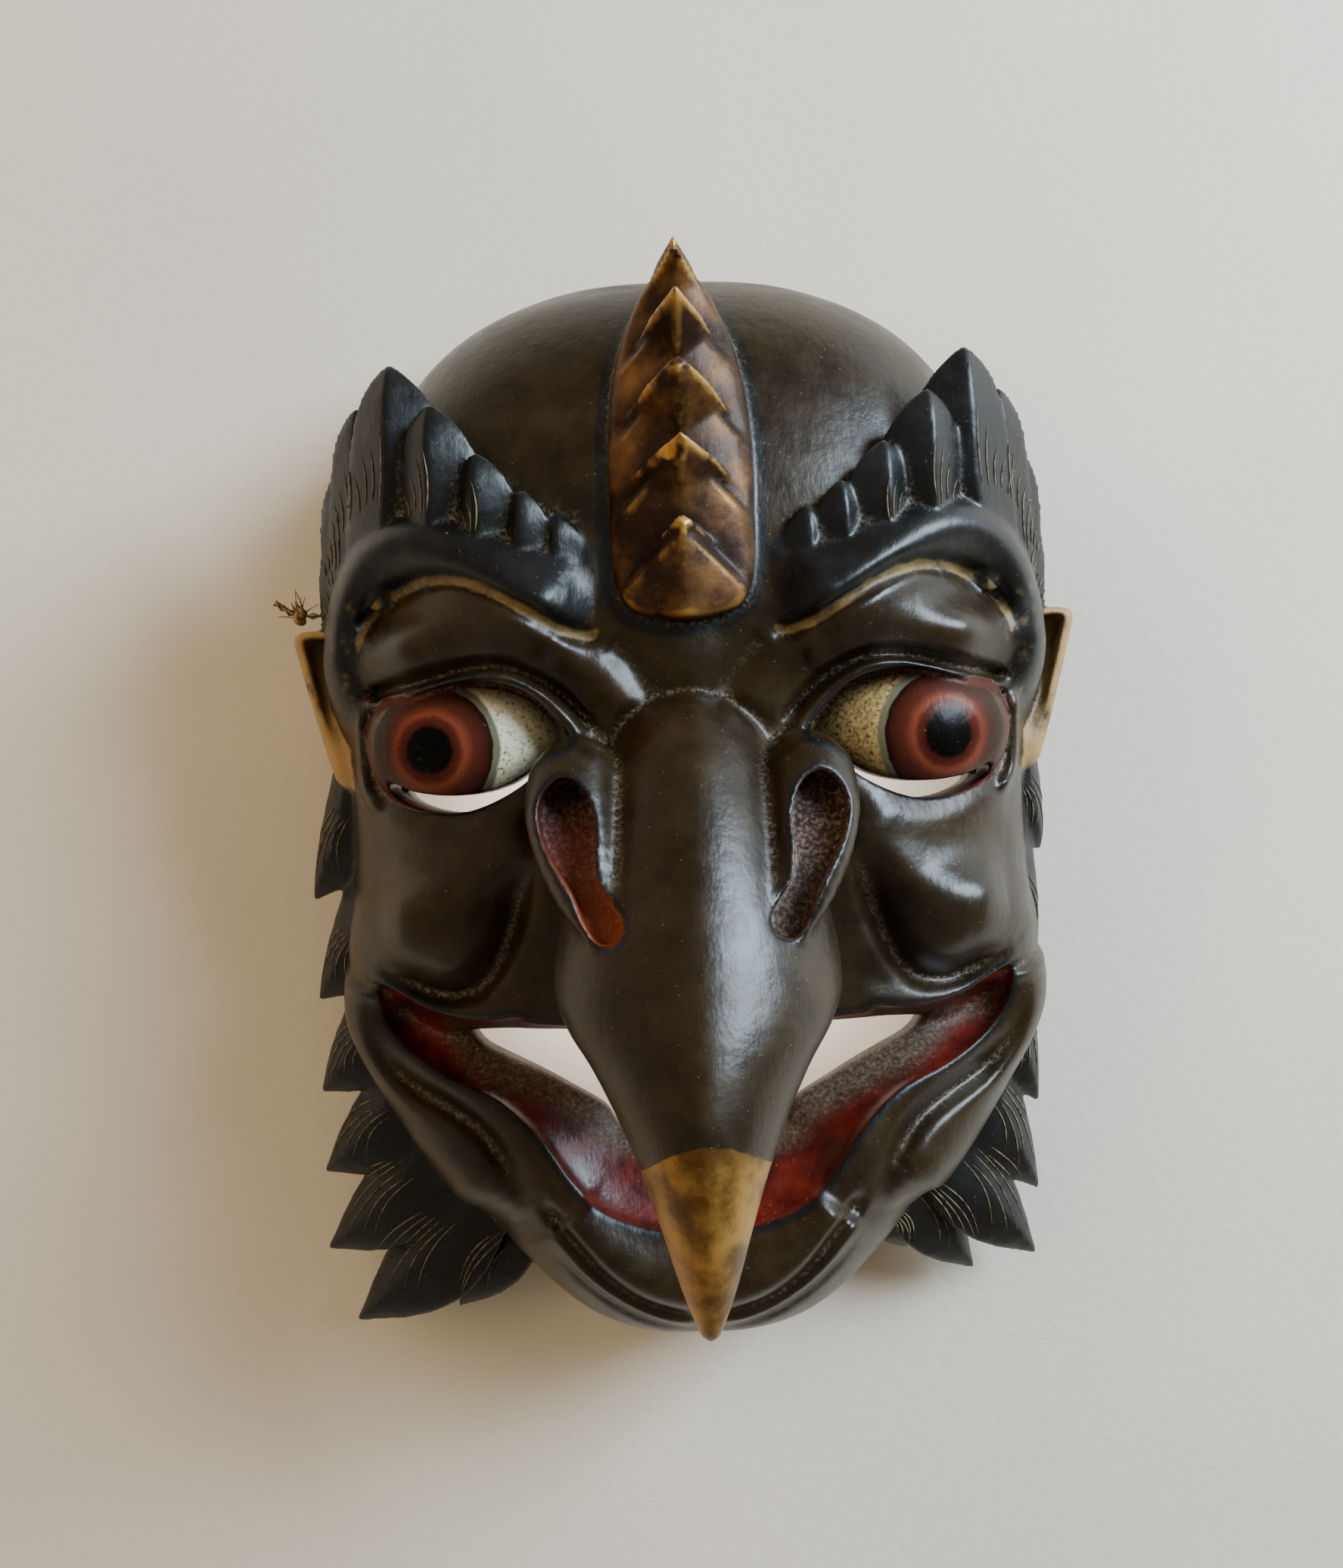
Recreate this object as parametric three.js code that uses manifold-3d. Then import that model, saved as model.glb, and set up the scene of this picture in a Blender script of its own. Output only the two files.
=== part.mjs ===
// A bird-faced dance mask carved from one block of light wood: a hollow shell that lies flat on its back rim,
// with a hooked beak over an open grinning mouth, bulging eyes with view slits under them, feathered brows,
// a stepped crest, small ears and feathered jaws. A short cord is knotted through a hole beside one ear.
// Units are millimetres. +Z is the way the face looks, +Y is up the face and the back rim lies on z = 0.
import * as THREE from "three";
import { mergeVertices } from "three/addons/utils/BufferGeometryUtils.js";
import Module from "manifold-3d";

const wasm = await Module();
wasm.setup();

// ---- Driving sizes -------------------------------------------------------------------------------------
const SHELL_ROWS = 48; // grid of the outer face, crown to chin
const SHELL_COLUMNS = 34; // and side to side
const HOLLOW_ROWS = 18;
const HOLLOW_COLUMNS = 12;
const SQUARENESS = 2.9; // exponent of the cross-section: 2 is an ellipse, more is squarer
const HOLLOW_SQUARENESS = 2.4;
const RIM_FADE = 16; // the carving fades out over this height above the rim

// Each row is [y, half width, height] of a section through the head, chin first.
const HEAD = [
  [-102.4, 0, 0], [-101.8, 13, 30], [-98.5, 24, 43], [-90, 35, 50], [-76, 45, 53], [-58, 55, 55.5],
  [-40, 62.5, 58], [-18, 65, 62], [6, 65, 66], [30, 64, 69], [50, 61.5, 68.5], [67, 56.5, 64],
  [80, 48, 56], [88.5, 36, 46], [92.6, 22, 34], [93.5, 0, 0],
];
const HOLLOW = [
  [-91, 0, 0], [-89, 14, 17], [-80, 28, 31], [-62, 43, 42], [-40, 52, 48],
  [-10, 56, 52], [25, 56, 56], [52, 51, 53], [70, 40, 41], [81, 22, 24], [85, 0, 0],
];

const EYE = { x: 38.5, y: 7, z: 49, rx: 18.5, ry: 12.5, rz: 17.5 };
const SLIT_TOP = [[52.5, 2], [47.5, -0.2], [41, -1.2], [35, -0.6], [29.5, 1.4], [24, 5.4]];
const SLIT_FOOT = [[51.5, -0.6], [46, -3.4], [40.5, -4.3], [35, -3.4], [29, -0.2], [24.6, 4]];

const LOWER_LIP = [
  [57, -35.5], [56.5, -41], [53.5, -45.5], [48.5, -49.8], [41.5, -52.6], [36, -54.6], [31, -58.6],
  [26.5, -64.5], [20.5, -71.5], [13, -76], [0, -78.5],
];
const UPPER_LIP = [[55.5, -34.5], [50, -37.8], [44, -39.8], [36, -39.8], [28, -40.8], [0, -42]];
const THROAT_LOWER = [
  [41, -44.4], [40.5, -44.8], [39, -46], [37, -47.6], [33.5, -50], [29.5, -52.6], [26, -55],
  [22, -58], [17, -61], [10, -63.6], [0, -64.5],
];
const THROAT_UPPER = [[40.6, -43.6], [38, -43], [34, -42.8], [30, -42.8], [24, -42.8], [0, -43]];

// [y, half width, top of the ridge, foot of the section] of the beak, bridge first.
const BEAK = [
  [15, 7, 73.5, 58], [11, 11, 79, 55], [4, 14, 85, 52], [-8, 17.5, 92, 50], [-22, 22, 98, 50],
  [-34, 22.6, 102.6, 53], [-44, 17, 105.6, 63], [-52, 12.7, 106.6, 71], [-60, 9.3, 105.6, 78],
  [-68, 6.6, 103, 84], [-76, 4.2, 99.4, 88.5], [-84.4, 1.4, 94, 91],
];
const BEAK_SIDES = 16;
const BEAK_ROUNDNESS = 1.75;
const WING = [
  [18.5, 5.5, 70, 4], [19, 1, 76, 7.6], [18.8, -6, 80, 8], [17, -14, 84, 6.4], [14.6, -21, 88, 4.6],
];
const NOSTRIL = [
  [21, 1], [23.8, -2.5], [23.8, -7], [21.4, -12], [18.2, -17.6], [16.6, -22], [14, -24],
  [11.8, -22.4], [12.2, -19.6], [14.2, -16.4], [15, -12], [15.2, -6], [16.4, -1],
];
const NOSTRIL_FLOOR = 76;

// Each crest flame is [y and z of its root, y and z of its tip, half width, half thickness], lowest first.
const CREST = [
  [27, 66, 43, 83, 9.5, 10], [36, 66, 56, 85.5, 10.5, 9], [48, 64, 69, 84, 11, 9],
  [60, 60, 82, 77, 10.5, 9], [70, 54, 94, 66, 9.5, 8.5],
];

// Feathers are { from, to, width, thick, face, bend }: root and tip, half width, half thickness, the way the
// broad side looks, and how far the blade bows sideways.
const BROW_FEATHERS = [
  [[17, 33, 67], [17.5, 42.5, 70], 2.6, 2.4], [[22, 35, 67], [22.5, 46, 71], 3.2, 2.6],
  [[28, 38, 66], [29, 50, 71], 4, 3], [[34.5, 42, 64], [36.5, 57, 70], 4.6, 3.4],
  [[42, 44, 60], [44, 65, 68], 5.4, 3.6], [[50, 44, 54], [51.5, 73, 61], 6.4, 4],
  [[57, 41, 46], [58.5, 68, 52], 5, 3.4], [[61, 34, 40], [63.6, 58, 45], 4.4, 3],
  [[63, 26, 36], [65.6, 47, 40], 4, 2.8],
];
const LEFT_JAW_FEATHERS = [
  [[64, 4, 22], [76, -21, 13], 7, 4], [[64, -22, 19], [75.6, -42, 11], 6.5, 3.6],
  [[62, -42, 18], [75.6, -60, 10], 7, 3.6], [[58, -57, 18], [75.6, -77, 10], 7.5, 3.6],
  [[53, -68, 18], [75.6, -92, 9], 8, 3.6], [[46, -76, 18], [70.6, -106, 8], 9, 3.8],
  [[38, -84, 16], [49, -104, 8], 5, 3.2],
];
const RIGHT_JAW_FEATHERS = [
  [[64, 4, 22], [70, -15, 15], 6, 4], [[63, -14, 20], [69.6, -36, 13], 6, 3.6],
  [[62, -34, 18], [68.6, -66, 11], 7, 3.6], [[58, -54, 18], [67.6, -83, 10], 7, 3.6],
  [[52, -68, 18], [66.6, -96, 9], 8, 3.8], [[44, -78, 17], [54, -99, 8], 6.5, 3.4],
  [[39, -84, 15], [41.5, -94, 8], 3, 3],
];
const EAR = { root: [60, 4, 25], lean: 6, height: 27, depth: 24, thick: 5 };

const CORD_R = 0.8;
const CORD_HOLE_R = 1.7; // bored level through the side wall, above the ear
const CORD_HOLE = [-60, 34, 30];
const KNOT_R = 2.1;
const CORD_SIDES = 6;
// The cord's path: the frayed end outside, the knot, the hole, then a loose run down to the floor inside.
const CORD_PATH = [
  [-76.5, 36.5, 31.5], [-72.2, 34, 30], [-64, 34, 30], [-56, 34, 30], [-49.5, 34, 29.6], [-45.5, 31.5, 24],
  [-44.5, 27, 12], [-43.5, 21, 3.6], [-40, 13.5, 1.2], [-33, 7, 1.1], [-24, 4, 1.1],
];
const KNOT_STATION = 1; // the knot sits on this point of the path

// ---- Small helpers -------------------------------------------------------------------------------------
const smooth = (t) => THREE.MathUtils.smoothstep(t, 0, 1);
const fine = (points, count = 40) =>
  new THREE.SplineCurve(points.map(([x, y]) => new THREE.Vector2(x, y))).getPoints(count);
const mirrored = (points) => points.map(([x, ...rest]) => [-x, ...rest]);

// How far (x, y) is from a fine polyline, and how far along it (0 to 1) the nearest point lies.
function nearest(line, x, y) {
  let best = Infinity;
  let along = 0;
  for (let i = 0; i + 1 < line.length; i++) {
    const dx = line[i + 1].x - line[i].x;
    const dy = line[i + 1].y - line[i].y;
    const share = THREE.MathUtils.clamp(
      ((x - line[i].x) * dx + (y - line[i].y) * dy) / (dx * dx + dy * dy), 0, 1);
    const gap = Math.hypot(x - line[i].x - share * dx, y - line[i].y - share * dy);
    if (gap < best) {
      best = gap;
      along = (i + share) / (line.length - 1);
    }
  }
  return { gap: best, along };
}

// A rounded ridge (or, with a negative height, a groove) along a path, tapering at both ends.
function ridge(points, width, height, taper = 0.15) {
  const line = fine(points);
  return (x, y) => {
    const { gap, along } = nearest(line, x, y);
    const ends = smooth(along / taper + 0.25) * smooth((1 - along) / taper + 0.25);
    return height * ends * Math.exp(-((gap / width) ** 2));
  };
}

// A low swelling over an ellipse.
const swell = (cx, cy, rx, ry, height) => (x, y) => {
  const r = ((x - cx) / rx) ** 2 + ((y - cy) / ry) ** 2;
  return r < 1 ? height * (1 - r) ** 2 : 0;
};

// The larger carving of one half of the face, as heights over the plain head.
const CARVING = [
  ridge([
    [61, 12], [62.5, 24], [61, 35], [55, 43.5], [47, 45.5], [39, 42], [31, 37], [24, 32.5], [18, 29],
  ], 6, 7),
  ridge([[55, 21], [50, 27], [42, 28.5], [34, 27.5], [26, 23.5], [20, 17]], 5.5, 4.5),
  ridge([[55, 15], [47, 17.4], [40, 19.6], [33, 19.8], [26, 17.2], [20, 11.5], [16.5, 8]], 2.4, 3),
  ridge([[53, -4], [44, -7], [36, -6.6], [28, -2.5], [24, 1]], 3.4, 2),
  ridge([[27, -14], [36, -16.5], [47, -17], [58, -14]], 7, 5),
  ridge([[40, -26], [48, -27.5], [58, -27]], 7, 3.5),
  ridge([[24, -10], [29.5, -20], [33, -29.5], [38, -34.6], [44, -35.6], [51, -33.4], [58, -29]], 2.2, -3),
  ridge([[54, -37], [50, -40], [44, -42], [36, -42], [28, -43]], 3.5, 3),
  ridge([
    [58, -38], [56, -45], [49, -51.8], [41, -55], [35, -58.5], [29, -65], [22, -73], [12, -79.5], [0, -81.5],
  ], 4.6, 4),
  ridge([[62, -34], [60, -46], [54, -57], [46, -65], [38, -72]], 8, 5.5),
  ridge([[47, -55], [39.5, -60], [34.5, -66], [31, -74], [30, -84]], 2.2, -3.5),
  ridge([[29, -78], [24, -85], [17, -90.5], [8, -94.5], [0, -96]], 2.2, -2.5),
  swell(0, 34, 40, 26, 1.5),
];
const eyeSocket = swell(EYE.x, EYE.y - 1, 21, 14, -9);
const relief = (x, y) => CARVING.reduce((sum, f) => sum + f(Math.abs(x), y), eyeSocket(Math.abs(x), y));

// A closed indexed mesh as a solid, and a solid as a geometry.
function solidOf(geometry) {
  const bare = geometry.clone();
  bare.deleteAttribute("normal");
  bare.deleteAttribute("uv");
  const merged = mergeVertices(bare, 1e-4);
  return new wasm.Manifold(new wasm.Mesh({
    numProp: 3,
    vertProperties: new Float32Array(merged.attributes.position.array),
    triVerts: new Uint32Array(merged.index.array),
  }));
}

function geometryOf(solid) {
  const mesh = solid.getMesh();
  const geometry = new THREE.BufferGeometry();
  geometry.setAttribute("position", new THREE.BufferAttribute(mesh.vertProperties, 3));
  geometry.setIndex(new THREE.BufferAttribute(mesh.triVerts, 1));
  geometry.computeVertexNormals();
  return geometry;
}

// A closed skin over rings of points, each ring with the same number of points, capped with fans.
function loft(rings) {
  const count = rings[0].length;
  const position = rings.flat().flatMap((p) => [p.x, p.y, p.z]);
  const middle = (ring) => ring.reduce((sum, p) => sum.add(p), new THREE.Vector3()).divideScalar(count);
  position.push(...middle(rings[0]), ...middle(rings.at(-1)));
  const first = rings.length * count;
  const index = [];
  for (let r = 0; r + 1 < rings.length; r++)
    for (let i = 0; i < count; i++) {
      const a = r * count + i;
      const b = r * count + ((i + 1) % count);
      index.push(a, b, b + count, a, b + count, a + count);
    }
  const last = (rings.length - 1) * count;
  for (let i = 0; i < count; i++) {
    const next = (i + 1) % count;
    index.push(first, next, i, first + 1, last + i, last + next);
  }
  const geometry = new THREE.BufferGeometry();
  geometry.setAttribute("position", new THREE.Float32BufferAttribute(position, 3));
  geometry.setIndex(index);
  const solid = solidOf(geometry);
  if (solid.volume() > 0) return solid;
  for (let i = 0; i < index.length; i += 3) [index[i + 1], index[i + 2]] = [index[i + 2], index[i + 1]];
  geometry.setIndex(index);
  return solidOf(geometry);
}

// ---- The shell -----------------------------------------------------------------------------------------
// A point of a domed surface: along runs chin to crown (0 to 1), turn from one rim to the other (0 to pi).
function domePoint(sections, squareness, along, turn) {
  const { x: y, y: halfWidth, z: height } = sections.getPoint(along);
  const reach = (Math.abs(Math.cos(turn)) ** squareness + Math.sin(turn) ** squareness) ** (-1 / squareness);
  return new THREE.Vector3(halfWidth * reach * Math.cos(turn), y, height * reach * Math.sin(turn));
}

// The closed solid under a dome, with the carving raised along its normals.
function dome(table, rows, columns, squareness, carving) {
  const stations = table.map((s) => new THREE.Vector3(...s));
  const sections = new THREE.CatmullRomCurve3(stations, false, "catmullrom", 0.5);
  const step = 1e-3;
  const ring = (along) => Array.from({ length: columns + 1 }, (_, i) => {
    const turn = (Math.PI * i) / columns;
    const point = domePoint(sections, squareness, along, turn);
    if (!carving) return point;
    const up = domePoint(sections, squareness, Math.min(along + step, 1), turn);
    const across = domePoint(sections, squareness, along, Math.min(turn + step, Math.PI));
    const normal = new THREE.Vector3().crossVectors(across.sub(point), up.sub(point)).negate().normalize();
    if (normal.z < 0) normal.negate();
    const rise = carving(point.x, point.y) * smooth(point.z / RIM_FADE);
    return point.addScaledVector(normal, Number.isFinite(normal.x) ? rise : 0);
  });
  const rings = Array.from({ length: rows - 1 }, (_, r) => ring((r + 1) / rows));
  return loft(rings);
}

// A cutter whose outline changes from one level to the next: levels are [z, outline].
function taperedCut(levels, count) {
  return loft(levels.map(([z, outline]) => {
    const corners = outline.map(([x, y]) => new THREE.Vector3(x, y, z));
    const curve = new THREE.CatmullRomCurve3(corners, true, "catmullrom", 0.5);
    return curve.getPoints(count).slice(0, count);
  }));
}

// ---- The parts that stand out of the shell --------------------------------------------------------------
function ellipsoid({ x, y, z, rx, ry, rz }, around = 16, down = 10) {
  const ball = new THREE.SphereGeometry(1, around, down);
  ball.scale(rx, ry, rz).translate(x, y, z);
  return solidOf(ball);
}

function beak() {
  return loft(BEAK.map(([y, halfWidth, top, foot]) => Array.from({ length: BEAK_SIDES }, (_, i) => {
    const turn = (2 * Math.PI * i) / BEAK_SIDES;
    const c = Math.cos(turn);
    const s = Math.sin(turn);
    const x = halfWidth * Math.sign(c) * Math.abs(c) ** (2 / BEAK_ROUNDNESS / 1.14);
    return new THREE.Vector3(x, y, (top + foot) / 2 + ((top - foot) / 2) * s);
  })));
}

// A tube of changing radius over a list of [x, y, z, radius].
function swollenTube(stations, sides = 10) {
  const points = stations.map(([x, y, z]) => new THREE.Vector3(x, y, z));
  let across = new THREE.Vector3(0, 0, 1);
  return loft(stations.map((station, i) => {
    const next = points[Math.min(i + 1, points.length - 1)];
    const axis = next.clone().sub(points[Math.max(i - 1, 0)]).normalize();
    across = across.addScaledVector(axis, -across.dot(axis)).normalize();
    const over = axis.clone().cross(across);
    return Array.from({ length: sides }, (_, k) => points[i].clone()
      .addScaledVector(across, station[3] * Math.cos((2 * Math.PI * k) / sides))
      .addScaledVector(over, station[3] * Math.sin((2 * Math.PI * k) / sides)));
  }));
}

// A pointed blade with a sharp spine on its broad side, rooted inside the head.
const BLADE_STATIONS = [[0, 0.75], [0.4, 1], [0.78, 0.6], [1, 0.05]];
function blade(from, to, width, thick, face, bend = 0) {
  const root = new THREE.Vector3(...from);
  const axis = new THREE.Vector3(...to).sub(root);
  const across = new THREE.Vector3(...face).cross(axis).normalize();
  const over = axis.clone().cross(across).normalize();
  return loft(BLADE_STATIONS.map(([along, share]) => {
    const bow = bend * Math.sin(Math.PI * along);
    const middle = root.clone().addScaledVector(axis, along).addScaledVector(across, bow);
    const corners = [[1, 0], [0.55, 0.55], [0, 1], [-0.55, 0.55], [-1, 0], [0, -0.7]];
    return corners.map(([a, b]) => middle.clone()
      .addScaledVector(across, a * width * share).addScaledVector(over, b * thick * share));
  }));
}

function crestFlame([y0, z0, y1, z1, width, thick]) {
  return blade([0, y0, z0], [0, y1, z1], width, thick, [0, -0.4, 1]);
}

// A cupped ear: a leaning slab with a scooped front.
function ear(side) {
  const [x, y, z] = EAR.root;
  const slab = loft([0, 0.4, 0.8, 1].map((along) => {
    const lean = x + EAR.lean * along;
    const reach = EAR.thick * (0.9 + 0.35 * along);
    const depth = EAR.depth * (0.55 + 0.3 * along) * (along === 1 ? 0.7 : 1);
    return [[-1, -0.5], [1, -0.5], [1.25, 0], [1, 0.5], [-1, 0.5]].map(([a, b]) =>
      new THREE.Vector3(side * (lean + reach * a), y + EAR.height * along, z + depth * b));
  }));
  const scoop = ellipsoid({ x: side * (x + 5), y: y + 17, z: z + 8, rx: 4, ry: 14, rz: 8 });
  return slab.subtract(scoop);
}

function sideFeathers(rows, side) {
  return rows.map(([from, to, width, thick]) => blade(
    [side * from[0], from[1], from[2]], [side * to[0], to[1], to[2]],
    width, thick, [side * 0.6, 0, 0.8], -side * width * 0.35,
  ));
}

// ---- Assembly ------------------------------------------------------------------------------------------
function carvedMask() {
  const openings = [1, -1].flatMap((side) => {
    const slit = [...SLIT_TOP, ...SLIT_FOOT.toReversed()].map(([x, y]) => [side * x, y]);
    return [taperedCut([[20, slit], [90, slit]], 26)];
  });
  const half = (upper, lower) => [
    ...lower, ...mirrored(lower).reverse().slice(1), ...mirrored(upper).slice(0, -1), ...upper.toReversed(),
  ];
  const mouth = half(UPPER_LIP, LOWER_LIP);
  const throat = half(THROAT_UPPER, THROAT_LOWER);
  const mouthCut = taperedCut([[24, throat], [34, throat], [52, mouth], [90, mouth]], 56);
  let body = dome(HEAD, SHELL_ROWS, SHELL_COLUMNS, SQUARENESS, relief);
  for (const side of [1, -1]) {
    body = body.add(ellipsoid({ ...EYE, x: side * EYE.x }));
    body = body.add(ear(side));
    for (const [from, to, width, thick] of BROW_FEATHERS) {
      const root = [side * from[0], from[1], from[2] - 2];
      const tip = [side * to[0], to[1], to[2]];
      body = body.add(blade(root, tip, width, thick, [side * 0.3, 0, 1]));
    }
  }
  for (const feather of [...sideFeathers(LEFT_JAW_FEATHERS, -1), ...sideFeathers(RIGHT_JAW_FEATHERS, 1)])
    body = body.add(feather);
  body = body.subtract(mouthCut);
  for (const flame of CREST) body = body.add(crestFlame(flame));
  body = body.add(beak());
  const hollow = dome(HOLLOW, HOLLOW_ROWS, HOLLOW_COLUMNS, HOLLOW_SQUARENESS, null).translate(0, 0, -0.5);
  body = body.subtract(hollow);
  for (const slit of openings) body = body.subtract(slit);
  for (const side of [1, -1]) {
    body = body.add(swollenTube(WING.map(([x, ...rest]) => [side * x, ...rest])));
    const outline = NOSTRIL.map(([x, y]) => [side * x, y]);
    body = body.subtract(taperedCut([[NOSTRIL_FLOOR, outline], [120, outline]], 22));
  }
  const bore = new THREE.CylinderGeometry(CORD_HOLE_R, CORD_HOLE_R, 40, 12).rotateZ(Math.PI / 2);
  return body.subtract(solidOf(bore.translate(...CORD_HOLE)));
}

function knottedCord() {
  const knots = CORD_PATH.map((p) => new THREE.Vector3(...p));
  const path = new THREE.CatmullRomCurve3(knots, false, "centripetal");
  const count = 3 * (CORD_PATH.length - 1);
  const stations = Array.from(
    { length: count + 1 }, (_, i) => [...path.getPoint(i / count).toArray(), CORD_R],
  );
  const [x, y, z] = CORD_PATH[KNOT_STATION];
  const knot = ellipsoid({ x, y, z, rx: KNOT_R * 0.85, ry: KNOT_R * 1.1, rz: KNOT_R }, 10, 6);
  return swollenTube(stations, CORD_SIDES).add(knot);
}

// ---- The two pieces ------------------------------------------------------------------------------------
const wood = new THREE.MeshStandardMaterial({ color: 0x3b342a, roughness: 0.42, metalness: 0 });
const fibre = new THREE.MeshStandardMaterial({ color: 0xa58b57, roughness: 0.9, metalness: 0 });
const group = new THREE.Group();
const addPiece = (name, solid, material) => {
  const piece = new THREE.Mesh(geometryOf(solid), material);
  piece.name = name;
  group.add(piece);
};
addPiece("mask", carvedMask(), wood);
addPiece("cord", knottedCord(), fibre);

// The origin is the middle of the mask's outline, in the plane of the rim.
const middle = new THREE.Box3().setFromObject(group.children[0]).getCenter(new THREE.Vector3());
for (const piece of group.children) piece.position.set(-middle.x, -middle.y, 0);
export default group;
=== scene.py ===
import math

import bpy
import numpy as np
from bpy.props import FloatProperty, FloatVectorProperty, IntProperty, PointerProperty
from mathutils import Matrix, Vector
from mathutils.bvhtree import BVHTree


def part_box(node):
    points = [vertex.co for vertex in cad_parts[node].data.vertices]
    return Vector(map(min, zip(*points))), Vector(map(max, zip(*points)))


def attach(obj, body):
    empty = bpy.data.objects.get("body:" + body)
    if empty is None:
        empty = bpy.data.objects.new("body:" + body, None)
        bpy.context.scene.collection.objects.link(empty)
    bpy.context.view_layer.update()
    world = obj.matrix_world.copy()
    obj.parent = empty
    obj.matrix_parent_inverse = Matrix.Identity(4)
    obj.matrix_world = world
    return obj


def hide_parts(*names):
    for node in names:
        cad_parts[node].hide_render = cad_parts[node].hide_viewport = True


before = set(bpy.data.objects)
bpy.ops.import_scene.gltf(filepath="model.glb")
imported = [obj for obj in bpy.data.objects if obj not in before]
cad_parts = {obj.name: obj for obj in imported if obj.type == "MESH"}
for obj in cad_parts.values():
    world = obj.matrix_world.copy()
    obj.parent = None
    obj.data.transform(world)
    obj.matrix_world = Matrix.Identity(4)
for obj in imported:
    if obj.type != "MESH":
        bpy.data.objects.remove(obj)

bl_info = {
    "name": "Bird-faced dance mask",
    "version": (1, 0, 0),
    "blender": (4, 5, 0),
    "location": "3D View > Sidebar > Mask",
    "description": "Carves, paints and lights a hollow wooden dance mask lying on its back rim",
    "category": "Object",
}

# ---- Sizes, in the carver's own grid: millimetres, x to the viewer's right, y up the face, z out of it 
MM = 0.001
EAR_EDGE = 73.81  # outer edge of the right ear
LONGEST_FEATHER = -106.29  # tip of the longest jaw feather
SQUARENESS = 2.9  # exponent of the head's cross-section
HOLLOW_SQUARENESS = 2.4
BEAK_ROUNDNESS = 1.7

# [y, half width, height] of sections through the head, the hollow behind it and the beak (with its foot).
HEAD = [
    (-102.4, 0.5, 1), (-101.8, 13, 30), (-98.5, 24, 43), (-90, 34, 50), (-76, 44.5, 53), (-58, 53.5, 55.5),
    (-40, 61.5, 58), (-18, 65, 62), (6, 65, 66), (30, 64, 69), (50, 61.5, 68.5), (67, 56.5, 64),
    (80, 48, 56), (88.5, 36, 46), (92.6, 22, 34), (93.5, 0.5, 1),
]
HOLLOW = [
    (-91, 0.5, 1), (-89, 14, 17), (-80, 28, 31), (-62, 43, 42), (-40, 52, 48),
    (-10, 56, 52), (25, 56, 56), (52, 51, 53), (70, 40, 41), (81, 22, 24), (85, 0.5, 1),
]
BEAK = [
    (15, 3, 73.5, 60), (13, 7, 76, 58), (9.5, 10.8, 79.5, 55), (3, 14, 85, 52), (-8, 17.5, 92, 50),
    (-22, 22, 98.5, 50), (-32, 23, 102, 53), (-38, 21, 104, 57), (-44, 17, 105.4, 63), (-52, 12.7, 106.2, 71),
    (-60, 9.3, 105.4, 78), (-68, 6.6, 103, 84), (-75, 4.5, 99.8, 88), (-81, 2.4, 96.2, 90.5), (-84.4, 1, 93.6, 91.4),
]

EYE_CENTRE = (37.8, 8.6, 46.5)
EYE_RADII = (19.4, 15, 18.6)
EYE_OUTLINE = [
    (19.2, 7.2), (22.5, 11.8), (26, 15.4), (30, 17.4), (35.3, 18.3), (40, 18), (47.3, 16.2), (52, 15.4),
    (55.8, 14.6), (56.2, 9), (55, 3), (52, -0.6), (47.6, -2.6), (40.1, -3.4), (34, -1.8), (28.3, 1.4),
    (23.6, 4.6),
]
SLIT_OUTLINE = [
    (24, 5.4), (29.5, 1.5), (35, -0.3), (41, -0.8), (47.5, 0.1), (52, 2),
    (51.6, -0.6), (46.5, -2.9), (40.5, -3.8), (35, -2.7), (29, 0.2), (24.6, 4),
]
LOWER_LIP = [
    (56.6, -36.2), (55.8, -40.8), (53.6, -44.2), (49.6, -47.8), (44, -51), (39, -52.8), (35, -54.6),
    (31, -57.8), (27, -62.2), (22.8, -68.4), (18.4, -73.2), (13, -76), (7, -77.6), (0, -78.2),
]
UPPER_LIP = [
    (55.6, -34.6), (52, -36.2), (47.6, -38.6), (42, -40), (36, -40.2), (31, -39.6), (27.5, -41), (0, -42),
]
THROAT_LOWER = [
    (40.6, -44.2), (38.4, -46.4), (33, -48.6), (28.4, -50.6), (23.4, -53.2), (17, -57), (14.5, -60.6),
    (9, -61.4), (0, -61.8),
]
THROAT_UPPER = [(40.2, -43.6), (34, -43), (27, -43), (0, -43)]
NOSTRIL = [
    (21.2, 1.2), (23.9, -1.8), (24, -6.4), (22.2, -11), (19, -16.4), (17.2, -21), (15, -24),
    (12.2, -23.6), (11.2, -21), (12.8, -18), (14.8, -15), (15.5, -10.6), (15.3, -6), (16.4, -1.6), (18.6, 1),
]
NOSTRIL_ROLL = [
    (17.6, 3.6, 69), (19, 0.6, 75), (19.2, -5, 79.4), (18.2, -11, 83.4), (16.6, -16.6, 86.6), (14.6, -21, 89),
]
NOSTRIL_ROLL_RADII = (4.6, 7.4, 7.4, 6.4, 5, 3.4)
EYES_SEE_OUT = (43.8, 7.0)  # middle of each pupil

BROW_FEATHERS = [  # root, tip, half width, half thickness, bow of the blade
    ((15, 29, 65), (15.6, 40.6, 69.5), 3.4, 2.8, 0.4), ((20.6, 31, 65.5), (20.6, 45.2, 70.5), 4.2, 3.4, 0.5),
    ((26.6, 33, 65), (26.2, 49, 71), 4.8, 4, 0.6), ((33.4, 36, 63), (33.6, 55.4, 70.5), 6, 4.8, 0.9),
    ((41.6, 38, 59), (41.2, 64, 68.5), 7.6, 5.8, 1.4), ((51, 38, 52.5), (48.6, 72.4, 62), 9.4, 6.2, 2.2),
    ((57.6, 38, 43.5), (56.2, 67.6, 52), 7, 5, 1.6), ((61, 33, 37), (60.8, 58.4, 45), 6, 4.2, 1.2),
    ((62.8, 26, 33), (63.4, 46.6, 40), 5, 3.6, 0.9),
]
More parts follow.
